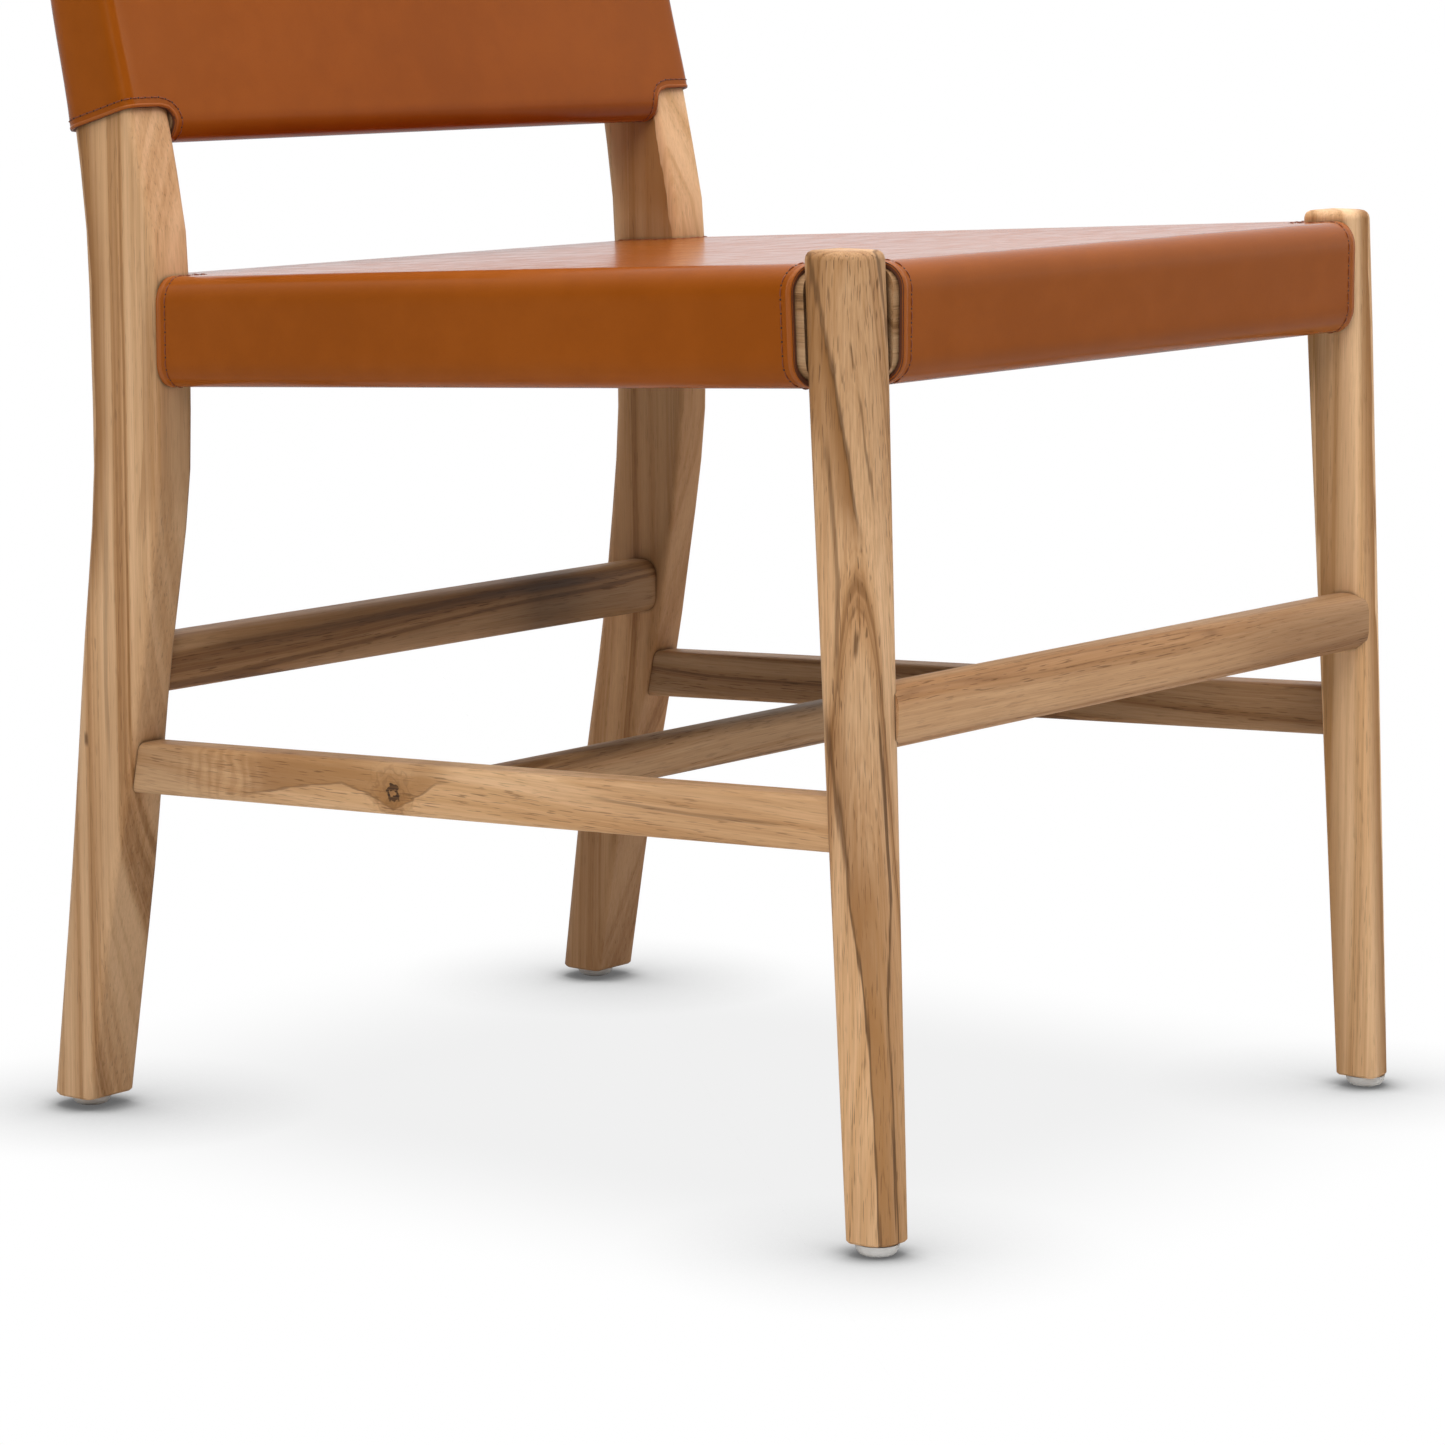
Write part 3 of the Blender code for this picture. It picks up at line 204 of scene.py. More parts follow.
def grid(bm, table, loop=False):
    """Faces between neighbouring lines of vertices. A None in a line leaves a gap, and loop joins the last line up."""
    for lower, upper in zip(table, table[1:] + ([table[0]] if loop else [])):
        for corners in zip(lower, lower[1:], upper[1:], upper):
            if None not in corners:
                bm.faces.new(corners)


def loft(bm, rings, loop=False):
    """A skin over closed rings of vertices, with both ends capped unless the last ring joins the first."""
    grid(bm, [ring + ring[:1] for ring in rings], loop)
    if not loop:
        bm.faces.new(reversed(rings[0]))
        bm.faces.new(rings[-1])


def surface_of(bm):
    """The bmesh's faces as a surface to lay things on, after turning them to face outward."""
    bmesh.ops.recalc_face_normals(bm, faces=bm.faces)
    centre = sum((v.co for v in bm.verts), Vector()) / len(bm.verts)
    if sum(f.normal.dot(f.calc_center_median() - centre) * f.calc_area() for f in bm.faces) < 0:
        bmesh.ops.reverse_faces(bm, faces=bm.faces)
    return BVHTree.FromBMesh(bm)


def laid(surface, points, above=0.0):
    """The points moved onto a surface, as (point, normal) pairs, at a height above it."""
    pairs = []
    for point in points:
        spot, normal, _, _ = surface.find_nearest(point)
        pairs.append((spot + normal * above, normal))
    return pairs


def evenly(points, pitch, closed=False):
    """Points along a polyline at a pitch that divides its length."""
    line = list(points) + ([points[0]] if closed else [])
    lengths = [0.0]
    for a, b in zip(line, line[1:]):
        lengths.append(lengths[-1] + (b - a).length)
    count = max(2, round(lengths[-1] / pitch))
    made, k = [], 0
    for i in range(count if closed else count + 1):
        wanted = lengths[-1] * i / count
        while k < len(line) - 2 and lengths[k + 1] < wanted:
            k += 1
        share = (wanted - lengths[k]) / max(lengths[k + 1] - lengths[k], 1e-9)
        made.append(line[k].lerp(line[k + 1], share))
    return made


def tube(bm, pairs, radii, closed=False, sides=8, flat=1.0):
    """A tube through (point, normal) pairs. radii is a number or one for each point; flat squeezes it in height."""
    count = len(pairs)
    rings = []
    for i, ((point, normal), radius) in enumerate(zip(pairs, [radii] * count if isinstance(radii, float) else radii)):
        before = pairs[(i - 1) % count if closed else max(i - 1, 0)][0]
        after = pairs[(i + 1) % count if closed else min(i + 1, count - 1)][0]
        along = (after - before).normalized()
        across = along.cross(normal).normalized()
        up = across.cross(along).normalized()
        turns = [2 * pi * k / sides for k in range(sides)]
        rings.append([bm.verts.new(point + across * radius * cos(t) + up * radius * flat * sin(t)) for t in turns])
    loft(bm, rings, closed)


# A stitch's height above the hide and its radius, from one end to the other
STITCH_LIFTS = (-0.00035, 0.00002, 0.00018, 0.00022, 0.00018, 0.00002, -0.00035)
STITCH_RADII = (0.00018, 0.00032, 0.00036, 0.00036, 0.00036, 0.00032, 0.00018)
HOLE_RADIUS, HOLE_DEPTH = 0.00062, 0.00012


def stitch_row(threads, holes, surface, points, pitch, closed=False):
    """A sewn line: a thread in each space between needle holes, sunk at its ends, and the holes."""
    line = evenly([pair[0] for pair in laid(surface, points)], pitch / 6, closed)
    places = evenly(line, pitch, closed)
    for start, end in zip(places, places[1:] + ([places[0]] if closed else [])):
        spots = [start.lerp(end, 0.10 + 0.80 * i / 6) for i in range(7)]
        pairs = [(spot + normal * lift, normal) for (spot, normal), lift in zip(laid(surface, spots), STITCH_LIFTS)]
        tube(threads, pairs, STITCH_RADII, sides=6)
    for spot, normal in laid(surface, places, -HOLE_DEPTH):
        matrix = Matrix.Translation(spot) @ normal.to_track_quat("Z", "Y").to_matrix().to_4x4()
        matrix = matrix @ Matrix.Diagonal((1, 1, 0.5, 1))
        bmesh.ops.create_icosphere(holes, subdivisions=2, radius=HOLE_RADIUS, matrix=matrix)


# Materials


class Nodes:
    """A node tree, emptied, with short ways to add and link nodes."""

    def __init__(self, tree):
        self.tree = tree
        tree.nodes.clear()

    def add(self, kind, inputs=None, **settings):
        node = self.tree.nodes.new(kind)
        for key, value in settings.items():
            setattr(node, key, value)
        for key, value in (inputs or {}).items():
            self.set(node.inputs[key], value)
        return node

    def set(self, socket, value):
        if isinstance(value, bpy.types.NodeSocket):
            self.tree.links.new(value, socket)
        else:
            socket.default_value = value

    def math(self, operation, *values):
        return self.add("ShaderNodeMath", dict(enumerate(values)), operation=operation).outputs[0]

    def times(self, a, b):
        return self.math("MULTIPLY", a, b)

    def weighted(self, *parts):
        """The sum of (value, weight) parts."""
        total = 0.0
        for value, weight in parts:
            total = self.math("MULTIPLY_ADD", value, weight, total)
        return total

    def vector(self, operation, a, b=None, scale=None):
        node = self.add("ShaderNodeVectorMath", {0: a}, operation=operation)
        for key, value in ((1, b), ("Scale", scale)):
            if value is not None:
                self.set(node.inputs[key], value)
        return node.outputs["Value" if operation in ("LENGTH", "DOT_PRODUCT") else "Vector"]

    def noise(self, vector, scale=1.0, detail=2.0, rough=0.5, out="Fac"):
        inputs = {"Vector": vector, "Scale": scale, "Detail": detail, "Roughness": rough}
        return self.add("ShaderNodeTexNoise", inputs).outputs[out]

    def stretched(self, vector, across, along, detail=2.0, rough=0.5, out="Fac"):
        """Noise with one scale across the grain and another along it."""
        return self.noise(self.vector("MULTIPLY", vector, (across, across, along)), 1.0, detail, rough, out)

    def line_noise(self, value, scale, detail, rough):
        inputs = {"W": value, "Scale": scale, "Detail": detail, "Roughness": rough}
        return self.add("ShaderNodeTexNoise", inputs, noise_dimensions="1D").outputs["Fac"]

    def span(self, value, low, high, to_low=0.0, to_high=1.0, smooth=True):
        """low to high mapped onto to_low to to_high, and held there outside it."""
        inputs = {"Value": value, "From Min": low, "From Max": high, "To Min": to_low, "To Max": to_high}
        kind = "SMOOTHSTEP" if smooth else "LINEAR"
        return self.add("ShaderNodeMapRange", inputs, interpolation_type=kind).outputs["Result"]

    def mix(self, factor, a, b):
        node = self.add("ShaderNodeMix", {0: factor}, data_type="RGBA")
        for key, value in ((6, a), (7, b)):
            self.set(node.inputs[key], value if isinstance(value, bpy.types.NodeSocket) else (*value, 1.0))
        return node.outputs[2]

    def ramp(self, value, stops):
        node = self.add("ShaderNodeValToRGB", {"Fac": value})
        elements = node.color_ramp.elements
        while len(elements) < len(stops):
            elements.new(0.5)
        for element, (position, colour) in zip(elements, stops):
            element.position = position
            element.color = (*colour, 1.0)
        return node.outputs["Color"]

    def bump(self, height, strength, distance):
        inputs = {"Height": height, "Strength": strength, "Distance": distance}
        return self.add("ShaderNodeBump", inputs).outputs["Normal"]

    def cells(self, scale):
        inputs = {"Vector": self.place, "Scale": scale, "Randomness": 1.0}
        return self.add("ShaderNodeTexVoronoi", inputs)

    def rays(self, *kinds):
        """1 for these kinds of rays and 0 for the rest."""
        path = self.add("ShaderNodeLightPath").outputs
        value = path[kinds[0]]
        for kind in kinds[1:]:
            value = self.math("MAXIMUM", value, path[kind])
        return value


class Shader(Nodes):
    """A material's node tree. place is the point in the piece's own frame, which is the chair's."""

    def __init__(self, name):
        self.material = bpy.data.materials.new(name)
        self.material.use_nodes = True
        super().__init__(self.material.node_tree)
        self.place = self.add("ShaderNodeTexCoord").outputs["Object"]

    def surface(self, **inputs):
        """The material, with a principled shader that has these inputs."""
        inputs = {key.replace("_", " "): value for key, value in inputs.items()}
        return self.finished(self.add("ShaderNodeBsdfPrincipled", inputs))

    def finished(self, shader):
        self.add("ShaderNodeOutputMaterial", {"Surface": shader.outputs[0]})
        return self.material


def linear(red, green, blue):
    """A colour written as 0 to 255 display values, as linear light."""
    return tuple(
        value / 255 / 12.92 if value / 255 <= 0.04045 else ((value / 255 + 0.055) / 1.055) ** 2.4
        for value in (red, green, blue)
    )


GRAIN_TURNS = {"x": (0.0, radians(90), 0.0), "y": (radians(90), 0.0, 0.0), "z": (0.0, 0.0, 0.0)}
GRAIN_AXES = {"x": (1.0, 0.0, 0.0), "y": (0.0, 1.0, 0.0), "z": (0.0, 0.0, 1.0)}
TEAK_PALE = linear(222, 181, 138)
TEAK_BRIGHT = tuple(c * 1.06 for c in TEAK_PALE)
TEAK_MID = linear(198, 153, 108)
TEAK_WARM = linear(190, 141, 92)
TEAK_DEEP = linear(158, 109, 63)
TEAK_STREAK = linear(104, 70, 40)
TEAK_PORE = linear(96, 64, 38)
TEAK_KNOT_AND_SHADE = linear(38, 22, 14)
TEAK_BROWN = linear(138, 90, 40)
TEAK_LINE = linear(74, 45, 22)
TONE_SCALE = 1.5


def growth_line_and_shade(s, along, across, ragged, points, width=1.0, strength=0.0, shade=0.0, reach=12.0, fade=20.0):
    """A dark line in the wood through (along, across) points, as (line, shade) amounts. Lengths are in millimetres.

    shade browns the wood past the line, up to reach from it, or before the line if reach is below 0: beside a growth
    line it is the wood's own dark band, and where a line with no strength runs along a piece's edge it is painted
    shade alone. Both fade out over fade at the line's ends.
    """
    points = [(a * MM, b * MM) for a, b in points]
    width, reach, fade = width * MM, reach * MM, fade * MM
    first, last = points[0][0], points[-1][0]
    least, most = min(p[1] for p in points), max(p[1] for p in points) + 0.1 * MM
    stops = [((p[0] - first) / (last - first), ((p[1] - least) / (most - least),) * 3) for p in points]
    share = s.ramp(s.span(along, first, last, smooth=False), stops)
    centre = s.math("MULTIPLY_ADD", share, most - least, least)
    away = s.math("ADD", s.math("SUBTRACT", across, centre), ragged)
    ends = s.times(s.span(along, first, first + fade), s.span(along, last, last - fade))
    line = s.times(s.span(s.math("ABSOLUTE", away), width, width * 0.2), s.times(ends, strength))
    past = away if reach > 0 else s.times(away, -1.0)
    side = s.times(s.span(past, 0.0, 0.6 * MM), s.span(past, abs(reach), 0.0, 0.0, shade))
    return line, s.times(side, ends)


def teak(
    name, axis, seed, tone=1.0, warm=1.0, pith=(0.05, 0.03), lean=0.02, figure=1.0, fine=1.0, contact_shade=0.55,
    lines=(), across=None, knots=(), waves=(),
):
    """Teak with its grain along an axis: rings round a pith outside the piece, streaks, fibres and pores.

    tone is a number, or (place along the axis, number) pairs, and warm below 1 takes blue out of it. A third number
    in a pair is the warmth there.
    figure and fine set how much the rings and the fibres show, and contact_shade how much painted shade darkens the
    wood next to what it meets.
    lines are points and settings of growth_line_and_shade, along the axis and along the direction across.
    knots are (centre, radius), and waves are (centre, radii, pitch, strength) of figure across the grain.
    """
    s = Shader(name)
    turned = s.add("ShaderNodeMapping", {"Vector": s.place, "Rotation": GRAIN_TURNS[axis]}).outputs[0]
    drawn = random.Random(seed)
    offset = tuple(drawn.uniform(-5, 5) for _ in range(3))
    moved = s.vector("ADD", turned, offset)
    # A slow wander of the grain across the piece, longer along it
    slow = s.stretched(moved, 9.0, 2.2, out="Color")
    wander = s.vector("SCALE", s.vector("SUBTRACT", slow, (0.5, 0.5, 0.5)), scale=0.022 * figure)
    bent = s.vector("ADD", turned, wander)
    # Distance from the pith, which leans, so that rings run out on the faces, and bulges round the knots
    tilt = (lean, lean * drawn.uniform(-1, 1))
    level = s.vector("MULTIPLY", bent, (1.0, 1.0, 0.0))
    height = s.vector("DOT_PRODUCT", bent, (0.0, 0.0, 1.0))
    run = s.add("ShaderNodeCombineXYZ", {0: s.times(height, tilt[0]), 1: s.times(height, tilt[1])})
    radius = s.vector("LENGTH", s.vector("SUBTRACT", s.vector("ADD", level, run.outputs[0]), (*pith, 0.0)))
    near_knots = []
    for place, size in knots:
        away = s.vector("LENGTH", s.vector("SCALE", s.vector("SUBTRACT", s.place, place), scale=1 / size))
        near_knots.append(away)
        bulge = s.math("POWER", 2.718, s.times(s.times(away, away), -0.22))
        radius = s.math("ADD", radius, s.times(bulge, size * 1.15))
    grain = s.vector("ADD", bent, offset)
    broad = s.line_noise(radius, 95.0, 2.0, 0.55)
    close = s.line_noise(radius, 520.0, 3.0, 0.6)
    fibre = s.stretched(grain, 1100.0, 14.0, 3.0, 0.6)
    thread = s.stretched(grain, 420.0, 7.0)
    pores = s.stretched(grain, 1500.0, 75.0, 1.0, 0.4)
    tonal = s.stretched(moved, 14.0, 3.0)
    value = s.weighted((broad, 0.62), (close, 0.20), (thread, 0.18))
    colour = s.ramp(value, ((0.30, TEAK_DEEP), (0.42, TEAK_MID), (0.56, TEAK_PALE), (0.72, TEAK_BRIGHT)))
    colour = s.mix(s.span(tonal, 0.35, 0.68, 0.0, 0.45), colour, TEAK_WARM)
    # Dark lines where a ring is dense
    dense = s.span(s.weighted((broad, 0.7), (close, 0.3)), 0.40, 0.31, 0.0, 0.55 * figure)
    colour = s.mix(dense, colour, TEAK_STREAK)
    along = s.vector("DOT_PRODUCT", s.place, GRAIN_AXES[axis])
    if lines:
        beside = s.vector("DOT_PRODUCT", s.place, across)
        ragged = s.math("MULTIPLY_ADD", thread, 4 * MM, -2 * MM)
        marks = [growth_line_and_shade(s, along, beside, ragged, points, **settings) for points, settings in lines]
        for i, tint in ((1, TEAK_BROWN), (0, TEAK_LINE)):
            amount = marks[0][i]
            for mark in marks[1:]:
                amount = s.math("MAXIMUM", amount, mark[i])
            colour = s.mix(amount, colour, tint)
    for place, radii, pitch, strength in waves:
        inputs = {"Vector": s.place, "Location": place, "Scale": radii}
        mapped = s.add("ShaderNodeMapping", inputs, vector_type="TEXTURE")
        patch = s.span(s.vector("LENGTH", mapped.outputs[0]), 1.0, 0.35)
        wave = s.math("MULTIPLY_ADD", along, 2 * pi / pitch, s.times(s.noise(s.place, 75.0), 9.0))
        wave = s.math("SINE", wave)
        for low, high, tint in ((0.1, 0.95, TEAK_BROWN), (-0.3, -1.0, TEAK_PALE)):
            colour = s.mix(s.times(patch, s.span(wave, low, high, 0.0, strength)), colour, tint)
    for away in near_knots:
        ring = s.math("ADD", away, s.math("MULTIPLY_ADD", s.noise(s.place, 330.0), 1.3, -0.65))
        swirl = s.math("SINE", s.math("MULTIPLY_ADD", away, 5.0, s.times(s.noise(s.place, 150.0), 16.0)))
        colour = s.mix(s.span(ring, 3.2, 0.8, 0.0, 0.60), colour, TEAK_BROWN)
        colour = s.mix(s.times(s.span(ring, 4.5, 1.5), s.span(swirl, 0.2, 1.0, 0.0, 0.30)), colour, TEAK_STREAK)
        colour = s.mix(s.times(s.span(ring, 0.95, 0.75), s.span(ring, 0.25, 0.45)), colour, TEAK_KNOT_AND_SHADE)
    colour = s.mix(s.span(fibre, 0.30, 0.75, 0.0, 0.35 * fine), colour, TEAK_DEEP)
    pore = s.times(s.span(pores, 0.60, 0.70), s.span(broad, 0.62, 0.38, 0.35, 1.0))
    colour = s.mix(s.times(pore, 0.55 * fine), colour, TEAK_PORE)
    if isinstance(tone, float):
        colour = s.vector("SCALE", colour, scale=tone)
    else:
        first, last = tone[0][0], tone[-1][0]
        stops = []
        for place, value, *heat in tone:
            heat = heat[0] if heat else 1.0
            tint = tuple(value / TONE_SCALE * part for part in (1.0, between(0.5, 1.0, heat), heat))
            stops.append(((place - first) / (last - first), tint))
        shade = s.ramp(s.span(along, first, last, smooth=False), stops)
        colour = s.vector("MULTIPLY", colour, s.vector("SCALE", shade, scale=TONE_SCALE))
    if warm != 1.0:
        colour = s.vector("MULTIPLY", colour, (1.0, between(0.5, 1.0, warm), warm))
    # Painted shade where the wood meets other parts, darkest in the tightest corners, from ambient occlusion
    meeting = s.add("ShaderNodeAmbientOcclusion", {"Distance": 3.5 * MM}, samples=8).outputs["AO"]
    colour = s.mix(s.span(meeting, 0.85, 0.30, 0.0, contact_shade), colour, TEAK_KNOT_AND_SHADE)
    rough = s.math("ADD", s.span(fibre, 0.3, 0.7, 0.46, 0.58), s.times(pore, 0.15))
    relief = s.bump(s.weighted((fibre, 0.5), (pore, -1.0)), 0.35, 0.3 * MM)
    return s.surface(Base_Color=colour, Roughness=rough, Normal=relief, Specular_IOR_Level=0.25)


def leather(name, edge=False):
    """Smooth tanned hide: a fine pebble with short creases, cloudy colour and a satin finish."""
    s = Shader(name)
    mottle = s.noise(s.place, 55.0, 3.0, 0.6)
    pebble = s.cells(900.0)
    pebble.feature = "SMOOTH_F1"
    value = s.weighted((s.noise(s.place, 7.0, 3.0, 0.55), 0.6), (mottle, 0.4))
    colour = s.mix(s.span(value, 0.40, 0.62), linear(151, 76, 14), linear(157, 80, 17))
    colour = s.mix(s.span(value, 0.52, 0.75, 0.0, 0.35), colour, linear(162, 85, 21))
    speck = s.span(s.noise(s.place, 1500.0), 0.60, 0.74)
    colour = s.mix(s.times(speck, 0.30), colour, linear(120, 58, 26))
    # Rolled edges are paler: partly the hide lightening where it is stretched, partly a painted highlight on their
    # rounding
    if edge:
        colour = s.mix(0.45, colour, linear(178, 104, 58))
    relief = s.bump(s.weighted((pebble.outputs["Distance"], 0.6), (speck, -0.5)), 0.020, 0.2 * MM)
    return s.surface(
        Base_Color=colour, Roughness=s.span(mottle, 0.3, 0.7, 0.19, 0.26), Normal=relief,
        Specular_IOR_Level=0.16, Specular_Tint=(1.0, 0.92, 0.60, 1.0),
    )


def plain(name, light, dark, scale, rough, metallic=0.0):
    """A moulded, cut or metal finish: two tones mixed by noise, with a matching relief."""
    s = Shader(name)
    grain = s.noise(s.place, scale, 3.0, 0.6)
    colour = s.mix(s.weighted((grain, 0.7), (s.noise(s.place, 40.0), 0.3)), linear(*dark), linear(*light))
    return s.surface(
        Base_Color=colour, Roughness=s.span(grain, 0.3, 0.7, *rough), Normal=s.bump(grain, 0.4, 0.1 * MM),
        Metallic=metallic,
    )


def foam(name):
    """Open-celled foam: pale, with small pits."""
    s = Shader(name)
    slow = s.noise(s.place, 30.0)
    pits = s.span(s.cells(620.0).outputs["Distance"], 0.05, 0.55)
    colour = s.mix(s.weighted((pits, 0.7), (slow, 0.3)), linear(206, 198, 176), linear(232, 226, 208))
    relief = s.bump(pits, 0.5, 0.6 * MM)
    return s.surface(Base_Color=colour, Roughness=s.span(slow, 0.3, 0.7, 0.8, 0.95), Normal=relief)


def woven(name, light, dark, pitch):
    """A plain weave: threads over and under at a pitch, in the plan of the chair."""
    s = Shader(name)
    parts = s.add("ShaderNodeSeparateXYZ", {0: s.place}).outputs
    over = s.times(*(s.math("SINE", s.times(parts[i], pi / pitch)) for i in (0, 1)))
    fuzz = s.noise(s.place, 900.0, 2.0, 0.6)
    colour = s.mix(s.weighted((s.span(over, -1.0, 1.0), 0.7), (fuzz, 0.3)), linear(*dark), linear(*light))
    rough = s.span(fuzz, 0.3, 0.7, 0.75, 0.9)
    return s.surface(Base_Color=colour, Roughness=rough, Normal=s.bump(over, 0.5, 0.4 * MM))


# Timber: the CAD's own solids, smoothed between their facets


def line(*points, **settings):
    """The (along, across) points and settings, in millimetres, of a growth line and its shade; some of them paint
    shade along an edge.
    """
    return points, settings


LEG_ACROSS = (0.6, -0.8, 0.0)
UP = (0.0, 0.0, 1.0)
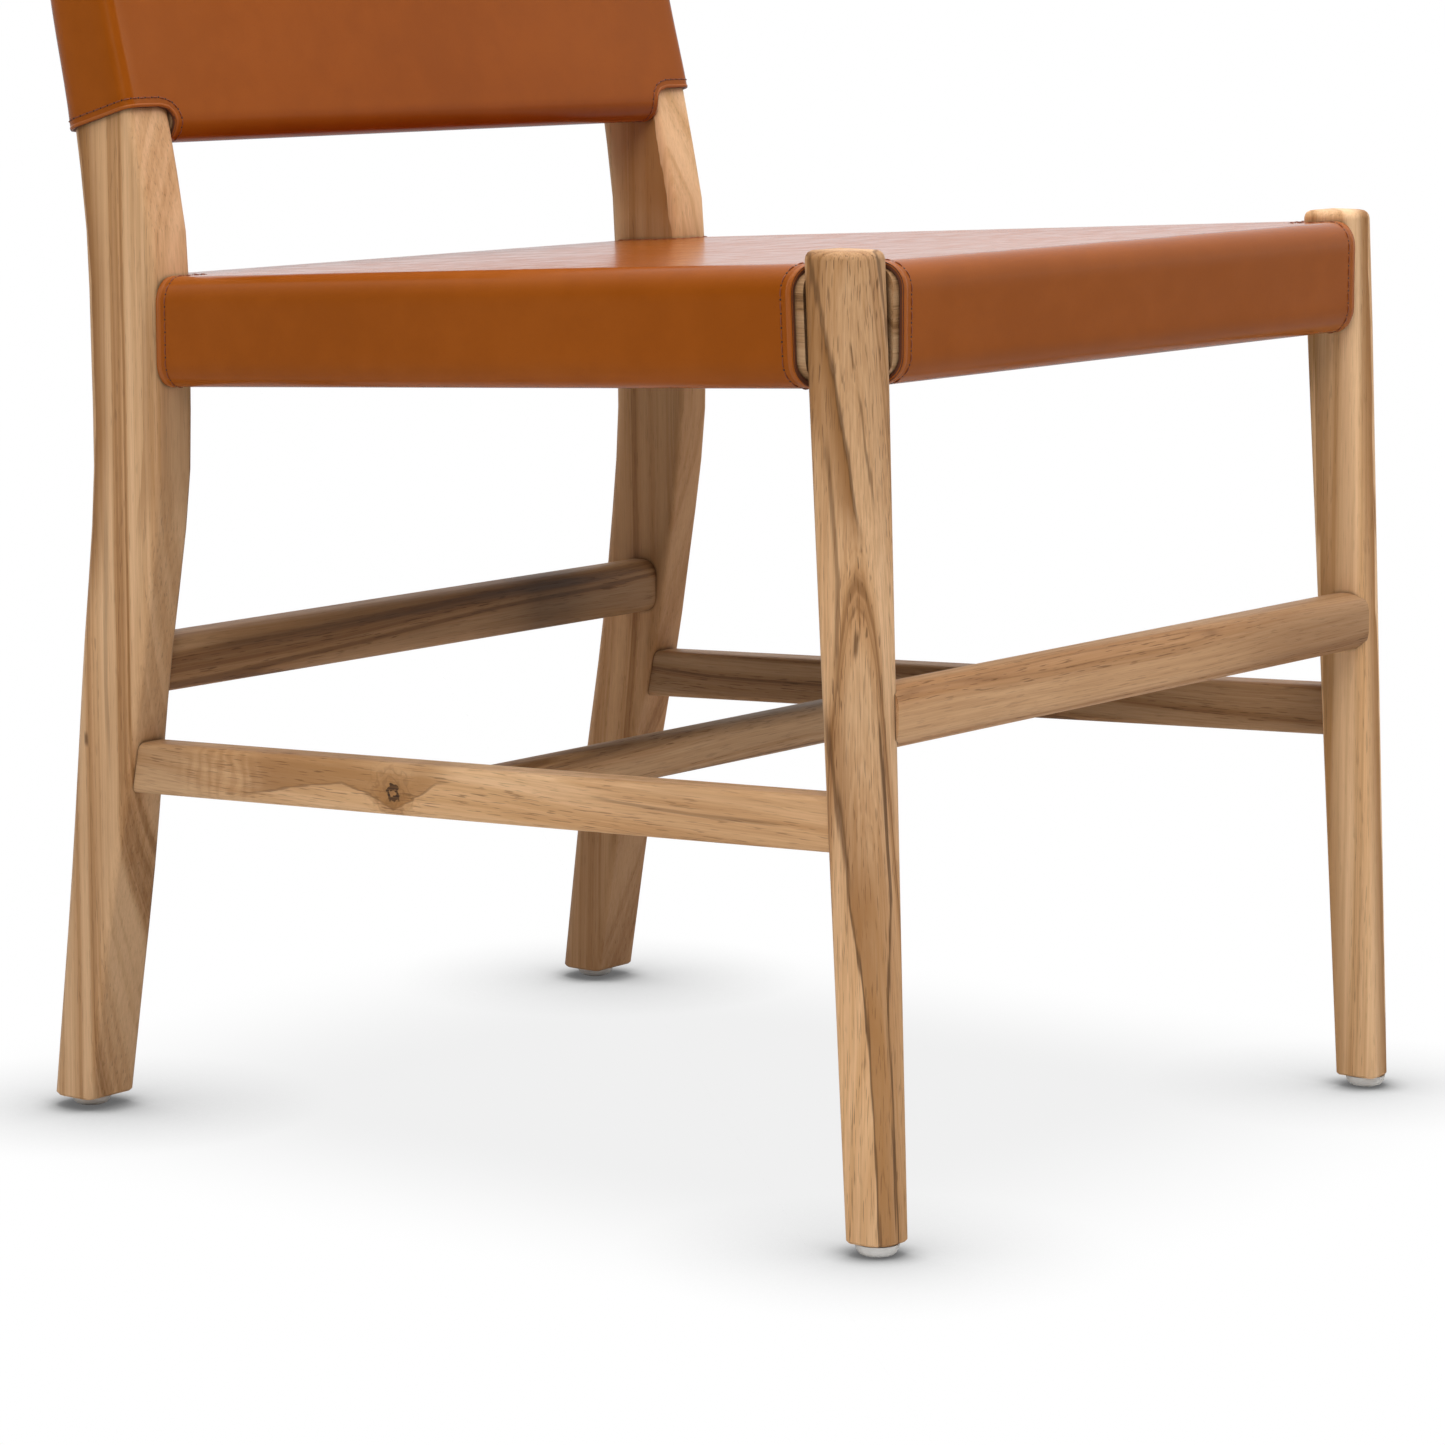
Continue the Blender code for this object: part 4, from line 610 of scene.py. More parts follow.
# Besides the wood's own lightness, the tones paint light and shade: the front legs lighten towards the floor, where
# more light reaches them, and the far rear leg and the rear, middle and far side stretchers darken, partly their own
# darker wood and partly painted shade where the seat shades them.
TIMBER = {
    "front_leg_left": dict(
        axis="z", seed=3, pith=(0.16, 0.02), lean=0.05, figure=0.9, fine=1.25, across=LEG_ACROSS,
        tone=[(0.0, 1.32, 1.08), (0.07, 1.40, 1.10), (0.12, 1.34, 1.06), (0.167, 1.20), (0.214, 1.04, 0.94),
              (0.261, 1.06), (0.308, 1.20), (0.36, 1.10), (0.47, 1.06)],
        lines=[
            line((330, 72.2), (378.7, 64.9), (412.6, 59.2), (456, 50), width=1.4, strength=0.75, shade=0.90,
                 reach=-12, fade=30),
            line((405, 60.5), (412.6, 59.2), (456, 50), (495, 41.8), width=1.9, strength=0.60, fade=15),
            # Painted shade along the leg's left edge at the top
            line((370, 44), (490, 46), shade=0.80, reach=14, fade=30),
            line((350, 56), (400, 50), (466, 38), shade=0.45, reach=16, fade=30),
            line((270, 60), (320, 60.8), (390, 55.2), width=1.7, strength=0.55),
            line((416, 67.8), (431, 65.9), width=0.9, strength=0.8, fade=4),
            line((350, 77.8), (412, 69), strength=0.55, fade=12),
            line((415, 86.6), (435, 83.5), (471, 78), (495, 74.3), width=1.3, strength=0.7, shade=0.45, fade=12),
            line((360, 85), (450, 79), shade=0.35, fade=30),
            line((282, 69), (299, 69.7), width=1.8, strength=0.75, fade=6),
            line((170, 68), (207.9, 62.2), (242.6, 57.1), (265, 54.5), width=2.2, strength=0.72, shade=0.55),
            line((-60, 82), (4, 81.6), (62.4, 78.9), (119.2, 74.5), (168.3, 66.9), (225, 62), strength=0.85,
                 shade=0.75, reach=30, fade=60),
            line((-10, 91), (66.1, 87.4), (119, 84.9), (170, 86.2), (260, 79.6), strength=0.85, fade=10),
        ],
    ),
    "front_leg_right": dict(
        axis="z", seed=5, pith=(-0.06, 0.09), lean=0.01, figure=0.25, fine=0.55, across=LEG_ACROSS,
        tone=[(0.0, 1.38, 1.12), (0.25, 1.40, 1.10), (0.47, 1.26, 1.05)],
        lines=[
            # These three paint shade along both edges of the leg, where it rounds away from the light, and over its
            # inner face near the top
            line((-60, 341.6), (470, 317.5), shade=0.70, reach=13, fade=30),
            line((100, 334.3), (520, 315.2), shade=0.62, reach=22, fade=250),
            line((-60, 369.9), (500, 347.9), shade=0.95, reach=-10, fade=30),
        ],
    ),
    "rear_leg_left": dict(
        axis="z", seed=8, pith=(-0.09, -0.12), lean=0.03, figure=0.30, fine=0.6, across=(0.0, -1.0, 0.0),
        tone=[(0.0, 1.03), (0.15, 1.0), (0.25, 1.12), (0.34, 1.12), (0.50, 1.14), (0.80, 1.18)],
        lines=[
            line((150, -212), (200, -206), (260, -195), (360, -185), (460, -186), shade=0.10, reach=50, fade=60),
            # This line and the next paint shade: on the back rounding, which turns from the light, and on the front
            # face just under the seat
            line((260, -230), (360, -220.6), (440, -221.8), (520, -229.7), (580, -241.2), (660, -250), shade=0.90,
                 reach=18, fade=50),
            line((290, -195), (360, -186), (460, -186), shade=0.40, reach=50, fade=50),
            line((170, -213), (230, -215.5), (340, -213), width=2.2, strength=0.30, shade=0.14, reach=20, fade=40),
            line((195, -230), (205, -230.5), width=2.2, strength=0.7, fade=4),
        ],
    ),
    "rear_leg_right": dict(
        axis="z", seed=13, pith=(0.12, -0.05), lean=0.01, figure=0.30, fine=0.5, across=(0.0, 1.0, 0.0),
        tone=[(0.0, 0.62, 0.74), (0.085, 0.68, 0.74), (0.189, 0.90, 0.78), (0.25, 0.84, 0.80), (0.314, 0.86, 0.78),
              (0.43, 0.90, 0.84), (0.455, 1.30, 1.06), (0.50, 1.36, 1.10), (0.80, 1.22, 1.0)],
        # Darkens the inner face above the seat: partly the leg's darker wood, partly painted shade on a face turned
        # from the light
        lines=[line((410, 180), (440, 180.2), (480, 186.5), (520, 194.7), (580, 209.7), (660, 227), shade=0.92,
                    reach=80, fade=60)],
    ),
    "front_stretcher": dict(
        axis="x", seed=21, pith=(-0.02, 0.08), lean=0.01, figure=0.8, warm=0.88, across=UP,
        tone=[(-0.22, 0.93), (0.02, 0.93), (0.10, 0.88), (0.165, 0.84), (0.22, 0.80)],
        lines=[line((50, 240), (290, 236), shade=0.55, reach=60, fade=100)],
    ),
    "rear_stretcher": dict(
        axis="x", seed=34, pith=(0.04, -0.09), figure=0.8, warm=0.84, across=UP,
        tone=[(-0.22, 0.78), (0.04, 0.76), (0.075, 0.60), (0.100, 0.38), (0.125, 0.40), (0.15, 0.54), (0.22, 0.64)],
        lines=[line((-200, 244), (0, 247), (80, 250), (170, 249), width=3.5, strength=0.5, shade=0.45, reach=20,
                    fade=50)],
    ),
    "middle_stretcher": dict(axis="x", seed=55, pith=(0.08, 0.05), lean=0.01, tone=0.84),
    "side_stretcher_left": dict(
        axis="y", seed=89, pith=(0.05, -0.10), figure=0.9, across=UP,
        tone=[(-0.230, 1.15), (-0.151, 1.10), (-0.115, 1.18), (-0.079, 1.26, 1.05), (-0.043, 1.34, 1.10),
              (0.029, 1.34, 1.10), (0.065, 1.28, 1.08), (0.101, 1.14), (0.137, 1.08), (0.173, 0.90), (0.20, 0.88)],
        lines=[
            line((-25, 202), (-7, 199), (8, 190), (21.3, 183), (36, 189), (55.7, 194), (84.1, 189), (133, 178.4),
                 width=0.9, strength=0.55, shade=0.60, reach=40, fade=30),
            line((-230, 201), (-167.5, 200.3), (-100, 203), width=1.2, strength=0.4),
        ],
        knots=[((-0.2330, 0.0213, 0.1918), 0.0050)],
        waves=[((-0.2306, 0.1400, 0.1900), (0.03, 0.040, 0.020), 0.0075, 0.20)],
    ),
    "side_stretcher_right": dict(axis="y", seed=144, pith=(-0.06, 0.07), lean=0.01, figure=0.9, tone=0.62, warm=0.82),
    # The seat rails show only in the notches round the legs: their darker tone and stronger contact shade are partly
    # painted shade in the notches
    "front_seat_rail": dict(axis="x", seed=233, pith=(0.05, 0.06), lean=0.01, tone=0.80, contact_shade=0.65),
    "rear_seat_rail": dict(axis="x", seed=377, pith=(0.04, 0.08), tone=0.80, contact_shade=0.65),
    "side_seat_rail_left": dict(axis="y", seed=610, pith=(0.06, 0.05), lean=0.01, tone=0.80, contact_shade=0.65),
    "side_seat_rail_right": dict(axis="y", seed=987, pith=(-0.05, 0.08), tone=0.80, contact_shade=0.65),
    "upper_back_rail": dict(axis="x", seed=31, pith=(0.04, 0.07), lean=0.01),
    "lower_back_rail": dict(axis="x", seed=37, pith=(0.06, 0.06), lean=0.01),
}
for corner in ("front_left", "front_right", "rear_left", "rear_right"):
    TIMBER["corner_block_" + corner] = dict(axis="x", seed=len(TIMBER), pith=(0.05, 0.05), figure=0.7)


def smooth_shaded(obj, angle=32.0):
    """A CAD node with its facets smoothed where they turn by less than the angle."""
    stored = obj.data.attributes.get("custom_normal")
    if stored is not None:
        obj.data.attributes.remove(stored)
    smooth(obj)
    modifier(obj, "WELD", merge_threshold=0.01 * MM)
    split_edges(obj, angle)
    modifier(obj, "WEIGHTED_NORMAL", mode="FACE_AREA", keep_sharp=True)
    return obj


for node_name, settings in TIMBER.items():
    set_material(smooth_shaded(NODES[node_name]), teak("teak_" + node_name, **settings))


# Seat leather: one hide as a cross, folded down over the rails, with openings round the legs


QUARTER = SEAT_ROUND * pi / 2
# Where the top's height is taken for the side flaps' front ends, and where their depth is
BY_FRONT_LEG_Y, SIDE_MIDDLE_Y = 0.04, 0.25


def seat_share(y):
    return (y - SEAT_FRONT_Y) / (SEAT_REAR_Y - SEAT_FRONT_Y)


def seat_top(y):
    return SEAT_HEIGHT - SEAT_DROP * seat_share(y)


def seat_depth(y):
    return between(SEAT_FRONT_DEPTH, SEAT_REAR_DEPTH, seat_share(y))


def seat_half(y):
    return between(SEAT_FRONT_HALF, SEAT_REAR_HALF, seat_share(y))


def fold(distance, depth):
    """(inset from the outer face, drop below the top) at a distance along the hide past the start of the fold."""
    straight = depth - 2 * SEAT_ROUND
    if distance <= 0:
        return SEAT_ROUND - distance, 0.0
    if distance <= QUARTER:
        turn = distance / SEAT_ROUND
        return SEAT_ROUND * (1 - sin(turn)), SEAT_ROUND * (1 - cos(turn))
    if distance <= QUARTER + straight:
        return 0.0, SEAT_ROUND + distance - QUARTER
    turn = (distance - QUARTER - straight) / SEAT_ROUND
    if turn <= pi / 2:
        return SEAT_ROUND * (1 - cos(turn)), depth - SEAT_ROUND + SEAT_ROUND * sin(turn)
    return SEAT_ROUND + distance - 2 * QUARTER - straight, depth


def flap_distances(depth):
    """Distances down a flap, close together where it bends."""
    straight = depth - 2 * SEAT_ROUND
    end = 2 * QUARTER + straight + TURN_UNDER - SEAT_ROUND
    marks = steps(0, QUARTER, QUARTER / 8) + steps(QUARTER, QUARTER + straight, 0.004)[1:]
    marks += steps(QUARTER + straight, 2 * QUARTER + straight, QUARTER / 8)[1:]
    return marks + steps(2 * QUARTER + straight, end, 0.003)[1:]


def opening(drop, depth, full, low=0.0009, top_round=0.0150, bottom_round=0.0120):
    """The gap between the hide's cut edge and a leg, at a drop below the seat's top: wide in the middle."""
    share = 1.0
    for left, radius in ((drop, top_round), (depth - drop, bottom_round)):
        if left < radius:
            share = min(share, sqrt(max(0.0, 1 - ((radius - left) / radius) ** 2)))
    return between(low, full, share)


def front_edge_x(drop, depth):
    """Half the width of the front flap at a drop below the top."""
    x, _, half = front_leg(seat_top(SEAT_FRONT_Y) - drop)
    return x - half - opening(drop, depth, NOTCH_FRONT_GAP)


def rear_edge_x(drop, depth):
    return rear_inner_x(seat_top(SEAT_REAR_Y) - drop) - opening(drop, depth, NOTCH_REAR_GAP + 0.001, low=0.0004)


def side_edge_y(drop, depth):
    """(front, rear) ends of a side flap at a drop below the top."""
    _, y, half = front_leg(seat_top(BY_FRONT_LEG_Y) - drop)
    rear_gap = opening(drop, depth, NOTCH_REAR_GAP + 0.0008, low=0.0003, top_round=0.009, bottom_round=0.009)
    return y + half + opening(drop, depth, NOTCH_SIDE_GAP), HIP_FRONT_Y - rear_gap


def sag(x, y):
    """How far the seat's top sinks below the flat, deepest in the middle, with a faint unevenness."""
    across = max(0.0, 1 - (x / (seat_half(y) - SEAT_ROUND)) ** 2)
    along = max(0.0, 1 - (2 * seat_share(y) - 1) ** 4)
    wave = sin(31 * x + 1.3) * sin(27 * y + 0.4) * 0.5 + sin(59 * x - 17 * y) * 0.3
    return (0.0022 + 0.00018 * wave) * across * along


def band_relief(along, drop):
    """How far a flap stands proud of the flat, where the hide eases over the rail."""
    wave = sin(23 * along + 0.7) * 0.6 + sin(51 * along + 2.1) * 0.4
    return 0.00012 * wave * exp(-((drop - 0.030) / 0.018) ** 2)


def top_point(x, y):
    return x, y, seat_top(y) - sag(x, y)


def side_point(side, distance, v):
    """A point of a side flap: v from 0 at its front end to 1 at its rear end."""
    depth = seat_depth(SIDE_MIDDLE_Y)
    y = between(*side_edge_y(fold(distance, depth)[1], depth), v)
    inset, drop = fold(distance, seat_depth(y))
    return side * (seat_half(y) - inset + band_relief(y, drop)), y, seat_top(y) - drop


def end_point(front, distance, u):
    """A point of the front or rear flap: u from -1 at its left end to 1 at its right end."""
    face = SEAT_FRONT_Y if front else SEAT_REAR_Y
    depth = seat_depth(face)
    inset, drop = fold(distance, depth)
    x = u * (front_edge_x if front else rear_edge_x)(drop, depth)
    inset -= band_relief(x, drop)
    y = face + inset if front else face - inset
    return x, y, seat_top(y) - drop


def seat_sheet():
    """The hide's outer face as a bmesh."""
    bm = bmesh.new()
    a_front, a_rear = front_edge_x(0, SEAT_FRONT_DEPTH), rear_edge_x(0, SEAT_REAR_DEPTH)
    y_front, y_rear = side_edge_y(0, SEAT_MEAN_DEPTH)
    columns = steps(-1, 1, 0.012 / a_front, 2)
    side_ys = [between(y_front, y_rear, v) for v in steps(0, 1, 0.012 / (y_rear - y_front), 2)]

    def vert(point):
        return bm.verts.new(row(*point))

    def inner(y):
        """Half the width of the middle columns at a place along the top."""
        return between(a_front, a_rear, clamped((y - y_front) / (y_rear - y_front)))

    def top_lines(ys):
        return [[vert(top_point(u * inner(y), y)) for u in columns] for y in ys]

    def end_lines(front, marks):
        return [[vert(end_point(front, distance, u)) for u in columns] for distance in marks]

    # Middle columns, from the end of the front flap over the top to the end of the rear flap
    ahead = end_lines(True, reversed(flap_distances(SEAT_FRONT_DEPTH)[1:]))
    ahead += top_lines(steps(SEAT_FRONT_Y + SEAT_ROUND, y_front, 0.006)[:-1])
    middle = top_lines(side_ys)
    behind = top_lines(steps(y_rear, SEAT_REAR_Y - SEAT_ROUND, 0.006)[1:])
    behind += end_lines(False, flap_distances(SEAT_REAR_DEPTH)[1:])
    grid(bm, ahead + middle + behind)
    # Side flaps, from the middle columns outwards and down
    for side in (-1, 1):
        flap = []
        for j, y in enumerate(side_ys):
            outer = seat_half(y) - SEAT_ROUND
            made = [middle[j][0 if side < 0 else -1]]
            made += [vert(top_point(side * between(inner(y), outer, k / 3), y)) for k in range(1, 4)]
            marks = flap_distances(seat_depth(SIDE_MIDDLE_Y))[1:]
            flap.append(made + [vert(side_point(side, mark, j / (len(side_ys) - 1))) for mark in marks])
        grid(bm, flap)
    return bm


HIDE = leather("leather_hide")
HIDE_EDGE = leather("leather_cut_edge", edge=True)
RAW_EDGE = plain("leather_raw_edge", (108, 58, 30), (72, 36, 18), 900.0, (0.6, 0.8))


def thickened(obj):
    """Gives a sheet the leather's thickness, with its outer face kept and its cut edges raw."""
    set_material(obj, HIDE).data.materials.append(RAW_EDGE)
    modifier(
        obj, "SOLIDIFY", thickness=LEATHER, offset=-1.0, use_even_offset=True, use_rim=True, material_offset_rim=1
    )
    return split_edges(obj, 50)


LOOP_PITCH = 0.0015


def leg_loops(edge):
    """For each leg, points of the line on the hide at a distance in from its cut edge, front legs first."""
    loops = []
    for front, side in ((True, -1), (True, 1), (False, -1), (False, 1)):
        out = 1 if front else -1
        face, by_leg, bend = (SEAT_FRONT_Y, BY_FRONT_LEG_Y, 0.0060) if front else (SEAT_REAR_Y, HIP_FRONT_Y, 0.0050)
        end_x = front_edge_x if front else rear_edge_x
        end_depth, side_depth = seat_depth(face), seat_depth(by_leg)
        x_top, y_top = end_x(0, end_depth) - edge, side_edge_y(0, side_depth)[not front] + out * edge
        points = []
        for distance in reversed(steps(0, flap_distances(end_depth)[-1] - edge * 0.4, LOOP_PITCH)[not front:]):
            inset, drop = fold(distance, end_depth)
            points.append((end_x(drop, end_depth) - edge, face + out * inset, seat_top(face) - drop))
        for y in steps(face + out * SEAT_ROUND, y_top - out * bend, LOOP_PITCH)[front:]:
            points.append((x_top, y, seat_top(y)))
        for i in range(1, 6):
            turn = pi / 2 * i / 6
            y = y_top - out * bend * (1 - sin(turn))
            points.append((x_top + bend * (1 - cos(turn)), y, seat_top(y)))
        for x in steps(x_top + bend, seat_half(y_top) - SEAT_ROUND, LOOP_PITCH):
            points.append((x, y_top, seat_top(y_top)))
        for distance in steps(0, flap_distances(side_depth)[-1] - edge * 0.4, LOOP_PITCH)[1:]:
            inset, drop = fold(distance, side_depth)
            y = side_edge_y(drop, side_depth)[not front] + out * edge
            points.append((seat_half(y) - inset, y, seat_top(y) - drop))
        loops.append([row(side * x, y, z) for x, y, z in points[::out]])
    return loops


# Rolled edges: radius, how flat and how deep they lie; stitches: pitch and distance in from the cut edge
SEAT_ROLL, SEAT_ROLL_FLAT, SEAT_ROLL_SUNK = 0.0021, 0.50, 0.00080
BACK_ROLL, ROLL_PITCH = 0.0011, 0.0020
SEAT_STITCH_PITCH, BACK_STITCH_PITCH = 0.0065, 0.0050
SEAT_STITCH_IN, BACK_STITCH_IN = 0.0062, 0.0045

hide = seat_sheet()
surface = surface_of(hide)
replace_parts(thickened(mesh_piece("seat_leather_hide", hide, closed=False)), "seat_leather")

rolls, threads, holes = bmesh.new(), bmesh.new(), bmesh.new()
for loop in leg_loops(SEAT_ROLL * 0.95):
    pairs = laid(surface, evenly(loop, ROLL_PITCH), -SEAT_ROLL_SUNK)
    tube(rolls, pairs, SEAT_ROLL, sides=12, flat=SEAT_ROLL_FLAT)
for loop in leg_loops(SEAT_STITCH_IN):
    stitch_row(threads, holes, surface, loop, SEAT_STITCH_PITCH)


# Back leather: a sleeve over both posts, open round each post below and above


BACK_PROUD = 0.0028
BACK_HALF = REAR_OUTER_X + BACK_PROUD
BACK_FRONT_ROUND, BACK_REAR_ROUND = 0.0068, 0.0138
BACK_ENDS = {
    # end: (height of the end, way out, hem heights front and rear, roundings front and rear, corner across and down)
    "low": (BACK_BOTTOM, -1, (0.5287, 0.5147), (0.0150, 0.0050), (0.0100, 0.0085)),
    "high": (BACK_TOP, 1, (0.7850, 0.7885), (0.0080, 0.0080), (0.0080, 0.0070)),
}
# Columns round a post, from the panel's front to its rear, as (part, share of the part)
POST_PARTS = (("front", 3, 3), ("front_turn", 6, 6), ("side", 4, 4), ("rear_turn", 8, 8), ("rear", 3, 2))
POST_COLUMNS = [(part, i / count) for part, count, last in POST_PARTS for i in range(1, last + 1)]
# The same with more points on the panel's faces, for the lines along the hems
HEM_COLUMNS = [("front", i / 8) for i in range(9)]
HEM_COLUMNS += [column for column in POST_COLUMNS if column[0] not in ("front", "rear")]
HEM_COLUMNS += [("rear", i / 6) for i in range(1, 7)]


def back_front(z):
    return rear_front_y(z) - BACK_PROUD


def back_rear(z):
    return rear_back_y(z) + BACK_PROUD


def wrap_lengths(end):
    """Lengths of the panel's wrap round an end: front, front turn, flat, rear turn and rear."""
    level, _, hems, rounds, _ = BACK_ENDS[end]
    flat = back_rear(level) - rounds[1] - back_front(level) - rounds[0]
    straights = [abs(level - hem) - radius for hem, radius in zip(hems, rounds)]
    return straights[0], rounds[0] * pi / 2, flat, rounds[1] * pi / 2, straights[1]


def wrap_point(end, distance):
    """(y, z) at a distance round the end of the panel, from the front hem's height to the rear hem's."""
    level, out, hems, rounds, _ = BACK_ENDS[end]
    lengths = wrap_lengths(end)
    left = distance
    if left <= lengths[0]:
        z = hems[0] + out * left
        return back_front(z), z
    left -= lengths[0]
    if left <= lengths[1]:
        turn = left / rounds[0]
        z = level - out * rounds[0] * (1 - sin(turn))
        return back_front(z) + rounds[0] * (1 - cos(turn)), z
    left -= lengths[1]
    if left <= lengths[2]:
        return back_front(level) + rounds[0] + left, level
    left -= lengths[2]
    if left <= lengths[3]:
        turn = left / rounds[1]
        z = level - out * rounds[1] * (1 - cos(turn))
        return back_rear(z) - rounds[1] * (1 - sin(turn)), z
    z = hems[1] + out * (lengths[4] - (left - lengths[3]))
    return back_rear(z), z


def wrap_edge_x(end, distance):
    """Half the width of the panel where it wraps round its end: it widens in a curve towards each hem."""
    total = sum(wrap_lengths(end))
    small = 1.0 if distance < total / 2 else 0.6
    across, down = (size * small for size in BACK_ENDS[end][4])
    near = min(distance, total - distance)
    wide = 1 - sqrt(max(0.0, 1 - (1 - near / down) ** 2)) if near < down else 0.0
    return rear_inner_x(BACK_ENDS[end][0]) - HEM_GAP + across * wide


HEM_GAP = 0.0012


def hem_height(end, share):
    """The height of a hem on a post, at a share of the way from the front to the rear."""
    return between(*BACK_ENDS[end][2], share)


def middle_edge(face, w):
    """Half the width of the middle columns on the front or rear, w of the way up between the hems."""
    low, high = (wrap_edge_x(end, 0.0 if face == "front" else sum(wrap_lengths(end))) for end in ("low", "high"))
    return between(low, high, w)


def crown(u, w):
    """How far the panel's front stands proud in its middle, over the pad."""
    return 0.0016 * (1 - u * u) * sin(pi * clamped(w)) ** 0.6


def post_point(part, t, z, inner):
    """(x, y) of the sleeve round a post at a height."""
    front, rear = back_front(z), back_rear(z)
    small, large = BACK_FRONT_ROUND, BACK_REAR_ROUND
    if part == "front":
        return inner + (BACK_HALF - small - inner) * t, front
    if part == "front_turn":
        return BACK_HALF - small * (1 - sin(t * pi / 2)), front + small * (1 - cos(t * pi / 2))
    if part == "side":
        return BACK_HALF, front + small + (rear - large - front - small) * t
    if part == "rear_turn":
        return BACK_HALF - large * (1 - cos(t * pi / 2)), rear - large * (1 - sin(t * pi / 2))
    return BACK_HALF - large - (BACK_HALF - large - inner) * t, rear


def on_post(side, part, t, w, height, rounds):
    """A point of the sleeve round a post, w of the way up, where height gives z from the share of the way back."""
    share = 0.0 if part.startswith("front") else 1.0
    inner = middle_edge("rear" if share else "front", w)
    for _ in range(rounds):
        z = height(share)
        x, y = post_point(part, t, z, inner)
        share = (y - back_front(z)) / (back_rear(z) - back_front(z))
    return row(side * x, y, z)


def back_sheet():
    """The sleeve's outer face as a bmesh."""
    bm = bmesh.new()
    columns, rows = steps(-1, 1, 0.055, 2), steps(0, 1, 0.045)

    def middle(face, w):
        z = between(*(hem_height(end, 0.0 if face == "front" else 1.0) for end in ("low", "high")), w)
        flat, lift = (back_front(z), -1.0) if face == "front" else (back_rear(z), 0.4)
        return [bm.verts.new(row(u * middle_edge(face, w), flat + lift * crown(u, w), z)) for u in columns]

    def wrap_rows(end):
        marks, start = [], 0.0
        for length, count in zip(wrap_lengths(end), (3, 8, 6, 6, 1)):
            marks += [start + length * k / count for k in range(1, count + 1)]
            start += length
        table = []
        for distance in marks[:-1]:
            y, z = wrap_point(end, distance)
            table.append([bm.verts.new(row(u * wrap_edge_x(end, distance), y, z)) for u in columns])
        return table

    def height(w):
        return lambda share: between(hem_height("low", share), hem_height("high", share), w)

    front = [middle("front", w) for w in reversed(rows)]
    below = wrap_rows("low")
    rear = [middle("rear", w) for w in rows]
    grid(bm, front + below + rear + wrap_rows("high")[::-1], loop=True)
    for side in (-1, 1):
        last = 0 if side < 0 else -1
        table = []
        for w, ahead, behind in zip(rows, reversed(front), rear):
            post = [bm.verts.new(on_post(side, part, t, w, height(w), 2)) for part, t in POST_COLUMNS]
            table.append([ahead[last], *post, behind[last]])
        grid(bm, table)
    return bm


def back_loops(edge):
    """For each end of each post, points of the closed line on the sleeve at a distance in from its cut edge."""
    loops = []
    for end, (_, out, *_) in BACK_ENDS.items():
        total = sum(wrap_lengths(end))
        for side in (-1, 1):
            points = []
            for k in range(1, 61):
                distance = total * (1 - k / 61)
                # Along the curve of each corner the line keeps its distance, up towards the hem
                ahead, behind = min(distance + 0.5 * MM, total), max(distance - 0.5 * MM, 0.0)
                lean = max(-8.0, min(8.0, (wrap_edge_x(end, ahead) - wrap_edge_x(end, behind)) / MM))
                scale = edge / sqrt(1 + lean * lean)
                x = wrap_edge_x(end, distance) - scale
                points.append(row(side * x, *wrap_point(end, distance + lean * scale)))
            for part, t in HEM_COLUMNS:
                w = 0.0 if end == "low" else 1.0
                points.append(on_post(side, part, t, w, lambda share: hem_height(end, share) - out * edge, 3))
            loops.append(points)
    return loops


sleeve = back_sheet()
surface = surface_of(sleeve)
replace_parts(thickened(mesh_piece("back_leather_hide", sleeve, closed=False)), "back_leather")
for loop in back_loops(BACK_ROLL * 0.9):
    pairs = laid(surface, evenly(loop, ROLL_PITCH, closed=True), -BACK_ROLL * 0.70)
    tube(rolls, pairs, BACK_ROLL, closed=True, sides=10)
for loop in back_loops(BACK_STITCH_IN):
    stitch_row(threads, holes, surface, loop, BACK_STITCH_PITCH, closed=True)

mesh_piece("leather_rolled_edges", rolls, HIDE_EDGE)
THREAD = plain("stitch_thread", (140, 70, 30), (112, 52, 20), 2500.0, (0.5, 0.7))
mesh_piece("leather_stitches", threads, THREAD)
# The needle holes are dark sunk discs: painted shade inside the holes
HOLES = plain("needle_holes", (40, 18, 10), (22, 10, 6), 3000.0, (0.6, 0.8))
mesh_piece("leather_needle_holes", holes, HOLES)


# What the leather hides: pads, straps and the dust cover


RAIL_INSET, RAIL_THICKNESS, LEDGE_WIDTH, FIT_GAP = 0.0028, 0.0220, 0.0100, 0.0003
PAD_THICKNESS, PAD_SLACK = 0.0060, 0.0006
STRAP_THICKNESS, STRAP_WIDTH, STRAP_COUNT, STRAP_LEG_GAP = 0.0020, 0.0500, 5, 0.0040
PAD_PLAN = RAIL_INSET + RAIL_THICKNESS - LEDGE_WIDTH + FIT_GAP
COVER_PLAN, COVER_THICKNESS = 0.0183, 0.0010
NOTCH_Z = 0.43


def hollow(x, y, depth):
    """How far the straps and what lies on them sink between the rails."""
    across = max(0.0, 1 - (x / (seat_half(y) - RAIL_INSET - RAIL_THICKNESS)) ** 2)
    along = max(0.0, 1 - (2 * seat_share(y) - 1) ** 4)
    return depth * across * along


